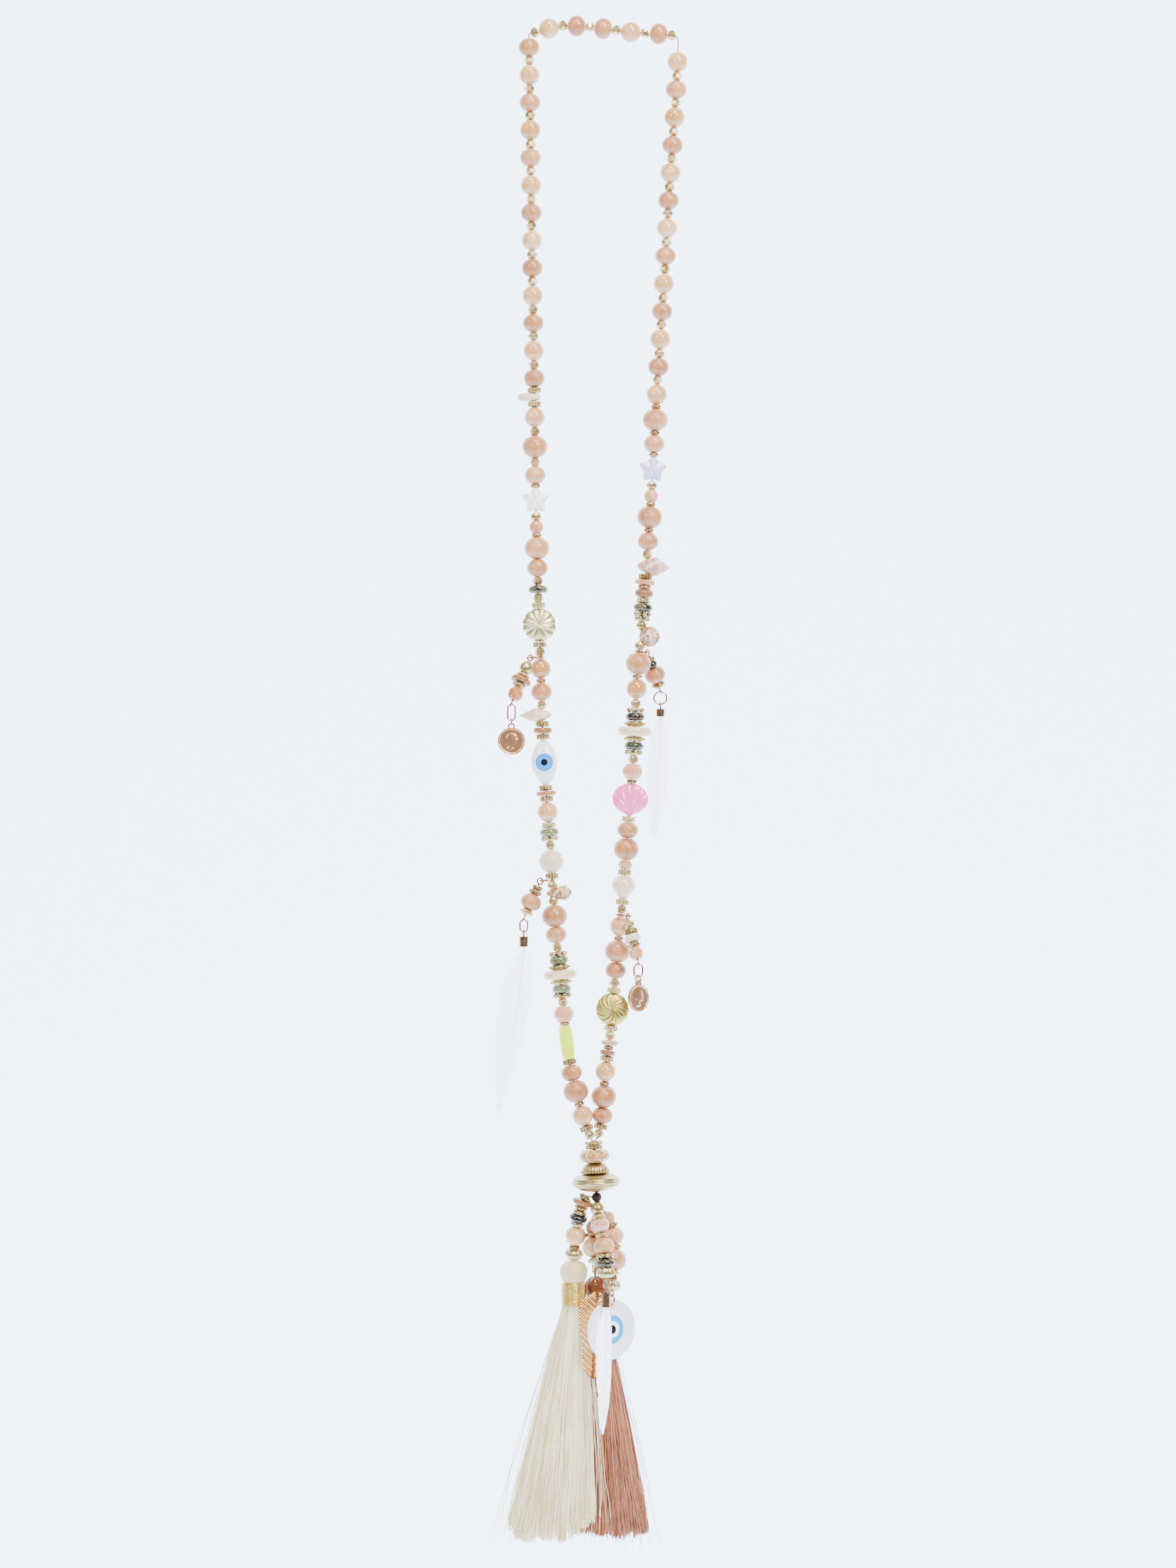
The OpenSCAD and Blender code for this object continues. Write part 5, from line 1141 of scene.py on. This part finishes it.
# Head: strands drawn over a ball and bound under it
def headShape():
    h, r, neck = tassel["headH"], tassel["headD"] / 2, tassel["neck"]
    rounds = [(1.0, 0.0), (r * 0.56, 0.35), (r * 0.84, h * 0.2), (r * 0.97, h * 0.38), (r, h * 0.52),
              (r * 0.95, h * 0.7), (r * 0.86, h * 0.86), (neck, h), (neck - 0.2, h + 1.5)]
    curve = smoothed([(q, -z, 0) for q, z in rounds], 4)
    lines = [(0.02, 0.0)] + [(q, z) for q, z, _ in curve] + [(0.02, curve[-1][1])]
    return turned(lines[::-1], 220, ripple=lambda c, z: 1 - 0.022 * (1 - np.abs(np.sin(c * 27.5)))
                  - 0.012 * (1 + np.sin(c * 17 + z)))


# Band: one thread wound over a sleeve
def bandShape():
    t, r = tassel, tassel["bandD"] / 2
    c = np.linspace(0, 2 * math.pi * t["windings"], t["windings"] * 24 + 1)
    winding = np.stack([(r - 0.3) * np.cos(c), (r - 0.3) * np.sin(c),
                        -t["headH"] - 0.3 - (t["bandH"] - 0.6) * c / c[-1]], 1)
    ends = -t["headH"], -skirtTop
    section = [(3.6, ends[0]), (r - 0.35, ends[0] - 0.2), (r - 0.35, ends[1] + 0.2), (3.6, ends[1])]
    sleeve = turned(section, 32)
    return merged([tube(winding, t["yarnD"], 6), sleeve])


def dressTassel(key, look, top, drift, length, nodes, bandNode, bandSlot, seed):
    side = np.array(drift)
    dressSkirt(key, look, top, side, length, nodes, seed)
    addPiece(key + "Core", makeMesh(key + "Core", *coreShape(top, side, length)), finishes[look], nodes=nodes)
    head, band = headShape(), bandShape()
    addPiece(key + "Head", makeMesh(key + "Head", head[0] + top, head[1], local=head[0]), finishes[look],
             nodes=nodes)
    addPiece(key + "Band", makeMesh(key + "Band", band[0] + top, band[1], local=band[0]),
             finishes[bandSlot[0]], nodes=[bandNode])


headGap = np.array([0, 0, 0.7])
dressTassel("cream", "cream", foot["cream"] - headGap, (-8.6, 0.4, 0), 91.0, ["cream_tassel"],
            "cream_band", ("goldThread", "gold_thread"), 3)
dressTassel("peach", "peach", foot["peach"] - headGap, (3.4, 3.6, 0), 86.0, ["peach_tassel"],
            "peach_band", ("peach", "peach_yarn"), 8)
print("tassels set")


# Feather: a quill, and barbs whose tips follow the outline
def dressFeather(name, top, table, node, seed, slant=1.15, pitch=0.2):
    draw = np.random.default_rng(seed)
    rows = np.array(table, float)
    depth = np.arange(3.2, rows[-1][0] - 0.3, pitch)
    root, middle, tip, tints = [], [], [], []
    for edge, sign in ((1, -1), (2, 1)):
        clump = draw.normal(0, 1, 400)
        for d in depth:
            w = np.interp(d, rows[:, 0], rows[:, edge])
            group = clump[int(d / 2.2)]
            start = max(2.0, d - w * (slant + 0.03 * group) - 0.3)
            x0, x1 = (np.interp(q, rows[:, 0], rows[:, 3]) for q in (start, d))
            y = draw.uniform(-0.14, 0.14)
            fray = 1 - abs(draw.normal(0, 0.025)) - (0.05 * abs(group) if abs(group) > 2.1 else 0)
            a = np.array([x0, 0.0, -start])
            c = np.array([x1 + sign * w * fray, y, -d])
            b = (a + c) / 2 + np.array([sign * w * 0.16, draw.uniform(0.0, 0.22), w * 0.1])
            root.append(top + a)
            middle.append(top + b)
            tip.append(top + c)
            tints.append(draw.uniform(0, 1))
    vane = strands(name + "Vane", np.array(root), np.array(middle), np.array(tip), tints, "feather", Steps=7,
                   Thickness=0.17 * mm, Wave=0.5 * mm, Sides=4, **{"Thin tip": 0.45, "Wave size": 160.0})
    onPiece(vane, nodes=[node])
    spine = smoothed([(r[3], 0, -r[0]) for r in rows[:-1]], 4)
    quill = tube(spine, np.linspace(1.0, 0.22, len(spine)), 10)
    addPiece(name + "Quill", makeMesh(name + "Quill", quill[0] + top, quill[1]), finishes["quill"],
             nodes=[node])


# Middle of a node's underside, in millimetres
def lowest(node):
    low, high = (np.array(corner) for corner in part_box(node))
    return np.array([(low[0] + high[0]) / 2, (low[1] + high[1]) / 2, low[2]]) / mm


crimpH = 1.9
quillTop = [(0, 0.5, 0.5, 0), (2.6, 0.5, 0.5, 0)]  # depth, width left, width right, middle
feathers = dict(
    front=("front_crimp", "front_feather", 21, [
        (5, 1.6, 1.6, 0.1), (10, 3.2, 2.2, 0), (16, 3.7, 2.2, 0), (24, 3.8, 2.1, 0), (31, 3.5, 2.1, -0.2),
        (38, 2.9, 1.8, -0.4), (44, 2.1, 1.3, -0.8), (49, 1.1, 0.7, -1.2), (52, 0.2, 0.2, -1.3)]),
    left=("crimp_left", "feather_left", 22, [
        (5, 1.6, 1.8, 0), (9, 4, 3.6, -0.5), (14, 6.2, 4.6, -1), (20, 7.4, 5, -1.8), (27, 7.6, 5, -2.9),
        (34, 7.2, 4.8, -4), (41, 6.2, 4.3, -5.2), (48, 4.9, 3.6, -6.5), (54, 3.7, 2.7, -7.6),
        (60, 2.3, 1.7, -8.8), (65, 0.9, 0.8, -9.8), (67.5, 0.2, 0.2, -10.2)]),
    right=("crimp_right", "feather_right", 23, [
        (4.6, 1.8, 1.7, 0), (8, 3.4, 3, -0.2), (13, 4.2, 3.9, -0.3), (20, 4.4, 4.2, -0.6), (28, 4.3, 4, -1),
        (35, 3.7, 3.4, -1.4), (41, 2.9, 2.5, -1.8), (46, 1.8, 1.5, -2.2), (49, 0.8, 0.7, -2.4),
        (50.5, 0.2, 0.2, -2.5)]),
)
for key, (crimp, node, seed, table) in feathers.items():
    dressFeather(key + "Feather", lowest(crimp) + (0, 0, crimpH), quillTop + table, node, seed)
print("feathers set")


flatTurn = np.array(Matrix.Rotation(math.pi / 2, 3, "X"))  # from lying in XY to standing in XZ


# Plate with its hole cut through
def drilled(shape, at, radius):
    plate = bpy.data.objects.new("plate", makeMesh("plate", *shape))
    hole = turned([(0.02, -6), (radius, -6), (radius, 6), (0.02, 6)], 40)
    drill = bpy.data.objects.new("drill", makeMesh("drill", hole[0] @ flatTurn.T + np.asarray(at), hole[1]))
    for piece in (plate, drill):
        bpy.context.scene.collection.objects.link(piece)
    cut = plate.modifiers.new("cut", "BOOLEAN")
    cut.object, cut.operation, cut.solver, cut.use_self = drill, "DIFFERENCE", "EXACT", True
    result = bpy.data.meshes.new_from_object(plate.evaluated_get(bpy.context.evaluated_depsgraph_get()))
    verts = np.zeros(len(result.vertices) * 3)
    result.vertices.foreach_get("co", verts)
    faces = [tuple(p.vertices) for p in result.polygons]
    print("drilled plate", len(result.vertices), "points")
    for piece in (plate, drill):
        bpy.data.objects.remove(piece)
    return verts.reshape(-1, 3) / mm, faces


leaf = dict(shift=0.91, top=0.6, back=0.42, flat=0.48, stem=4.4, spine=0.6, valley=0.2, barb=0.38, pitch=2.3,
            slant=0.95, hole=0.85)
# Distance below the tab's top, width to the left and right, middle
leafEdge = np.array([
    (-0.95, 0.7, 0.7, -0.91), (-0.4, 1.4, 1.4, -0.91), (0.8, 1.75, 1.75, -0.91), (2, 1.4, 1.4, -0.91),
    (3.2, 0.9, 0.9, -0.7), (4.4, 1.1, 1.1, -0.3), (5.8, 3.4, 3.2, 0), (7.6, 6.4, 5.2, -0.1),
    (10.2, 6.3, 6, -0.2), (11, 6.9, 6.1, -0.3), (14, 6.8, 6.2, -0.4), (18, 6.3, 6.1, -0.6),
    (22.3, 5.5, 5.9, -0.8), (25.2, 4.7, 5.4, -1), (25.9, 5.1, 5, -1), (29.3, 4.9, 3.9, -1.2),
    (32.6, 4.2, 2.9, -1.4), (35.4, 3.3, 2.1, -1.6), (37.4, 2.1, 1.2, -1.8), (38.3, 0.7, 0.4, -1.9)])


# Leaf: a flat back, and barbs that slope down from the spine on its face
def leafShape():
    rings = []
    u = np.linspace(-1, 1, 37)
    for d in np.concatenate([np.linspace(-0.95, 3.2, 14), np.linspace(3.5, 38.3, 190)]):
        left, right, shift = (np.interp(d, leafEdge[:, 0], leafEdge[:, k]) for k in (1, 2, 3))
        across = np.where(u < 0, u * left, u * right)
        x = shift + leaf["shift"] + across
        away = np.abs(across)
        face = np.full(37, leaf["flat"])
        if d > leaf["stem"]:
            crest = 0.5 + 0.5 * np.cos((d + away * leaf["slant"]) * 2 * math.pi / leaf["pitch"])
            face = np.where(away < 0.55, leaf["spine"], leaf["valley"] + leaf["barb"] * crest ** 0.8)
            face = face * np.clip(1.25 - np.abs(u) ** 8 * 0.45, 0, 1)
        front = np.stack([x, -face, np.full(37, leaf["top"] - d)], 1)
        rear = np.stack([x, np.full(37, leaf["back"]), np.full(37, leaf["top"] - d)], 1)[::-1]
        rings.append(np.concatenate([front, rear]))
    return drilled(loft(rings), (0, 0, -0.2), leaf["hole"])


disc = dict(r=11.8, t=1.6, drop=9.85, hole=1.2, holeDrop=0.45, turn=math.radians(40))


# Disc that hangs by a hole near its rim
def discShape():
    r, half = disc["r"], disc["t"] / 2
    section = [(0.02, -half), (r - 0.5, -half), (r - 0.15, 0.1 - half), (r, 0.4 - half), (r, half - 0.4),
               (r - 0.15, half - 0.1), (r - 0.5, half), (0.02, half)]
    verts, faces = turned(section, 96)
    return drilled((verts @ flatTurn.T - (0, 0, disc["drop"]), faces), (0, 0, -disc["holeDrop"]),
                   disc["hole"])


# Plate set on its pivot, with an optional turn about Z
def addCharm(name, shape, pivot, look, body, node, turn=0.0):
    way = np.array(Matrix.Rotation(turn, 3, "Z"))
    mesh = makeMesh(name, shape[0] @ way.T + pivot, shape[1], local=shape[0])
    mesh.set_sharp_from_angle(angle=math.radians(40))
    return addPiece(name, mesh, finishes[look], body, [node])


leafPivot = foot["leaf"] - (0, 0, 7.65)
discPivot = foot["disc"] - (0, 0, 5.45)
finishes["leaf"] = finish("leafGilt", [(0.35, (220, 146, 82)), (0.5, (232, 172, 100)),
                                       (0.65, (242, 206, 136))], metal=1.0, rough=(0.18, 0.28), scale=0.035,
                          detail=1, bump=0.02)
discRings = [(5.5, (0, 96, 190)), (5.2, (0, 150, 226)), (3.3, (250, 252, 255)), (1.75, (10, 12, 20))]
# The mother of pearl emits its colour as painted glow, so the disc and its painted eye look brighter than
# their lighting.
finishes["shellDisc"] = finish("motherOfPearl", [(0.25, (226, 222, 226)), (0.5, (243, 240, 243)),
                                                 (0.75, (250, 252, 254))], scale=0.16, warp=2.5,
                               rough=(0.08, 0.2), coat=0.6, glow=0.25, paintedGlowAndBacklight=1.0, bump=0.03,
                               paintOn=paintedRings((0, -disc["drop"]), discRings))
finishes["coin"] = finish("coinGilt", [(0.25, (228, 160, 114)), (0.55, (246, 192, 146)),
                                       (0.8, (252, 218, 182))], metal=1.0, rough=(0.26, 0.36), scale=0.3,
                          bump=0.03)
addCharm("leafCharm", leafShape(), leafPivot, "leaf", "leaf_pendant", "leaf_charm")
addCharm("eyeDisc", discShape(), discPivot, "shellDisc", "eye_pendant", "eye_disc",
         disc["turn"])

# Coin: a beaded rim round a plain profile head
profile = np.array([
    (0.1, 3.3), (1.0, 3.2), (1.75, 2.7), (2.05, 2.0), (2.1, 1.45), (2.2, 1.15), (2.62, 0.55), (2.42, 0.32),
    (2.28, 0.22), (2.38, -0.02), (2.3, -0.2), (2.36, -0.4), (2.2, -0.62), (2.22, -0.95), (1.9, -1.3),
    (1.3, -1.35), (0.85, -1.55), (0.7, -2.3), (1.15, -3.0), (0.2, -3.45), (-1.2, -3.4), (-1.9, -2.9),
    (-1.35, -2.0), (-1.5, -1.0), (-2.1, 0.0), (-2.3, 1.1), (-1.9, 2.3), (-1.0, 3.1)])
closedProfile = np.vstack([profile, profile[:1]])
profile = smoothed(np.column_stack([closedProfile, np.zeros(len(closedProfile))]), 3)[:-1, :2]


def insideDepth(x, z):
    a, b = profile, np.roll(profile, -1, 0)
    p = np.stack([x, z], 1)[:, None]
    edge = (b - a)[None]
    t = np.clip(((p - a) * edge).sum(2) / (edge ** 2).sum(2), 0, 1)
    away = np.linalg.norm(p - a - edge * t[:, :, None], axis=2).min(1)
    crossing = ((a[:, 1] > z[:, None]) != (b[:, 1] > z[:, None])) & (
        x[:, None] < (b[:, 0] - a[:, 0]) * (z[:, None] - a[:, 1]) / (b[:, 1] - a[:, 1] + 1e-9) + a[:, 0])
    return np.where(crossing.sum(1) % 2 == 1, away, 0)


coin = dict(d=10.6, t=1.2, hole=5.8, bore=0.75, tab=1.35)


def coinShape(d=coin["d"], t=coin["t"], n=144):
    a = np.arange(n) * 2 * math.pi / n
    rings = []
    shares = list(np.linspace(0.01, 0.84, 26)) + [0.87, 0.9, 0.93, 0.96, 0.985, 1.0]
    for side in (-1, 1):
        for f in shares if side < 0 else shares[::-1]:
            r = d / 2 * f
            x, z = r * np.sin(a), r * np.cos(a)
            high = np.full(n, t / 2 - 0.3)
            if f < 0.85:
                deep = insideDepth(x, z)
                high += 0.28 * (1 - np.exp(-deep / 0.45))
                hair = (deep > 0.15) & (x * 0.6 - z < -1.0)
                high -= np.where(hair, 0.06 * (1 + np.sin(9 * np.hypot(x - 1.2, z + 1.4))) / 2, 0)
                high -= 0.12 * np.exp(-((x - 1.55) ** 2 + (z - 0.95) ** 2) / 0.03)
            elif f < 0.92:
                high += 0.2 * np.abs(np.cos(22 * a))
            elif f < 0.99:
                high += 0.28
            else:
                high = np.full(n, t / 2 - 0.12)
            rings.append(np.stack([x, side * high, z], 1))
    return loft(rings)


# Coin with its tab on top, drilled for the ring it hangs by
def wholeCoin():
    r = coin["tab"]
    hole = np.array([0, 0, coin["hole"]])
    tab = turned([(0.02, -0.5), (r - 0.1, -0.5), (r, -0.4), (r, 0.4), (r - 0.1, 0.5), (0.02, 0.5)], 32)
    return drilled(merged([coinShape(), (tab[0] @ flatTurn.T + hole, tab[1])]), hole, coin["bore"])


for side, turn in (("left", 0.0), ("right", math.radians(44))):
    centre = lowest("coin_" + side) + (0, 0, coin["d"] / 2)
    addCharm(side + "Coin", wholeCoin(), centre, "coin", "necklace", "coin_" + side, turn)

# Rings, pins and crimps stay as they are and get their metal
plainMetal = dict(wire=("cluster_rings", "drop_rings", "drop_pins"),
                  crimp=("front_crimp", "crimp_left", "crimp_right"))
for look, nodes in plainMetal.items():
    for node in nodes:
        for place in frame["nodes"][node].material_slots:
            place.material = finishes[look]
print("charms set")

# Studio: a pale sweep behind and below, and soft lights from both sides
studio = dict(paper=(222, 236, 255), paintedGlowAndBacklight=4.6, wallY=0.9, floorZ=-1.5, cove=0.6, wide=3.0, frontY=-1.2,
              topZ=2.2, worldTint=(236, 242, 252), world=0.42)
arc = np.linspace(0, math.pi / 2, 12)
coveY, coveZ = studio["wallY"] - studio["cove"], studio["floorZ"] + studio["cove"]
bow = [(studio["frontY"], studio["floorZ"])]
bow += [(coveY + studio["cove"] * math.sin(t), coveZ - studio["cove"] * math.cos(t)) for t in arc]
bow += [(studio["wallY"], studio["topZ"])]
verts = [(x * studio["wide"] / mm, y / mm, z / mm) for y, z in bow for x in (-1, 1)]
faces = [(2 * k, 2 * k + 1, 2 * k + 3, 2 * k + 2) for k in range(len(bow) - 1)]
sweep = bpy.data.objects.new("paleSweep", makeMesh("paleSweep", verts, faces))
if sweep.data.polygons[0].normal.z < 0:
    sweep.data.flip_normals()
bpy.context.scene.collection.objects.link(sweep)

# Its paper is clear from behind, so that it hides nothing there
paper = bpy.data.materials.new("palePaper")
paper.use_nodes = True
paperTree = paper.node_tree
paperShader = paperTree.nodes["Principled BSDF"]
paperLook = {"Base Color": colour(*studio["paper"]), "Roughness": 0.9,
             "Emission Color": colour(*studio["paper"]), "Emission Strength": studio["paintedGlowAndBacklight"]}
for key, value in paperLook.items():
    paperShader.inputs[key].default_value = value
rearSide = put(paperTree, "ShaderNodeNewGeometry").outputs["Backfacing"]
clear = put(paperTree, "ShaderNodeBsdfTransparent")
oneSided = put(paperTree, "ShaderNodeMixShader", {0: rearSide, 1: paperShader, 2: clear})
paperTree.links.new(oneSided.outputs[0], paperTree.nodes["Material Output"].inputs["Surface"])
sweep.data.materials.append(paper)

lamps = [  # name, place, aim, size, watts, colour
    ("keyRight", (0.7, -1.3, 0.6), (0, 0, -0.28), (0.4, 0.5), 40, (255, 250, 243)),
    ("fillLeft", (-0.9, -1.2, 0.45), (0, 0, -0.28), (0.25, 0.4), 12, (242, 247, 255)),
    ("above", (0.1, -0.6, 0.8), (0, 0, -0.25), (0.5, 0.4), 18, (255, 255, 255)),
]
for name, place, aim, size, watts, paint in lamps:
    lamp = bpy.data.lights.new(name, "AREA")
    lamp.shape = "RECTANGLE"
    lamp.size, lamp.size_y = size
    lamp.energy = watts
    lamp.color = colour(*paint)[:3]
    holder = bpy.data.objects.new(name, lamp)
    bpy.context.scene.collection.objects.link(holder)
    holder.location = place
    holder.rotation_euler = (Vector(aim) - Vector(place)).to_track_quat("-Z", "Y").to_euler()
world = bpy.data.worlds.new("paleWorld")
world.use_nodes = True
world.node_tree.nodes["Background"].inputs[0].default_value = colour(*studio["worldTint"])
world.node_tree.nodes["Background"].inputs[1].default_value = studio["world"]
bpy.context.scene.world = world

print("scene ready")
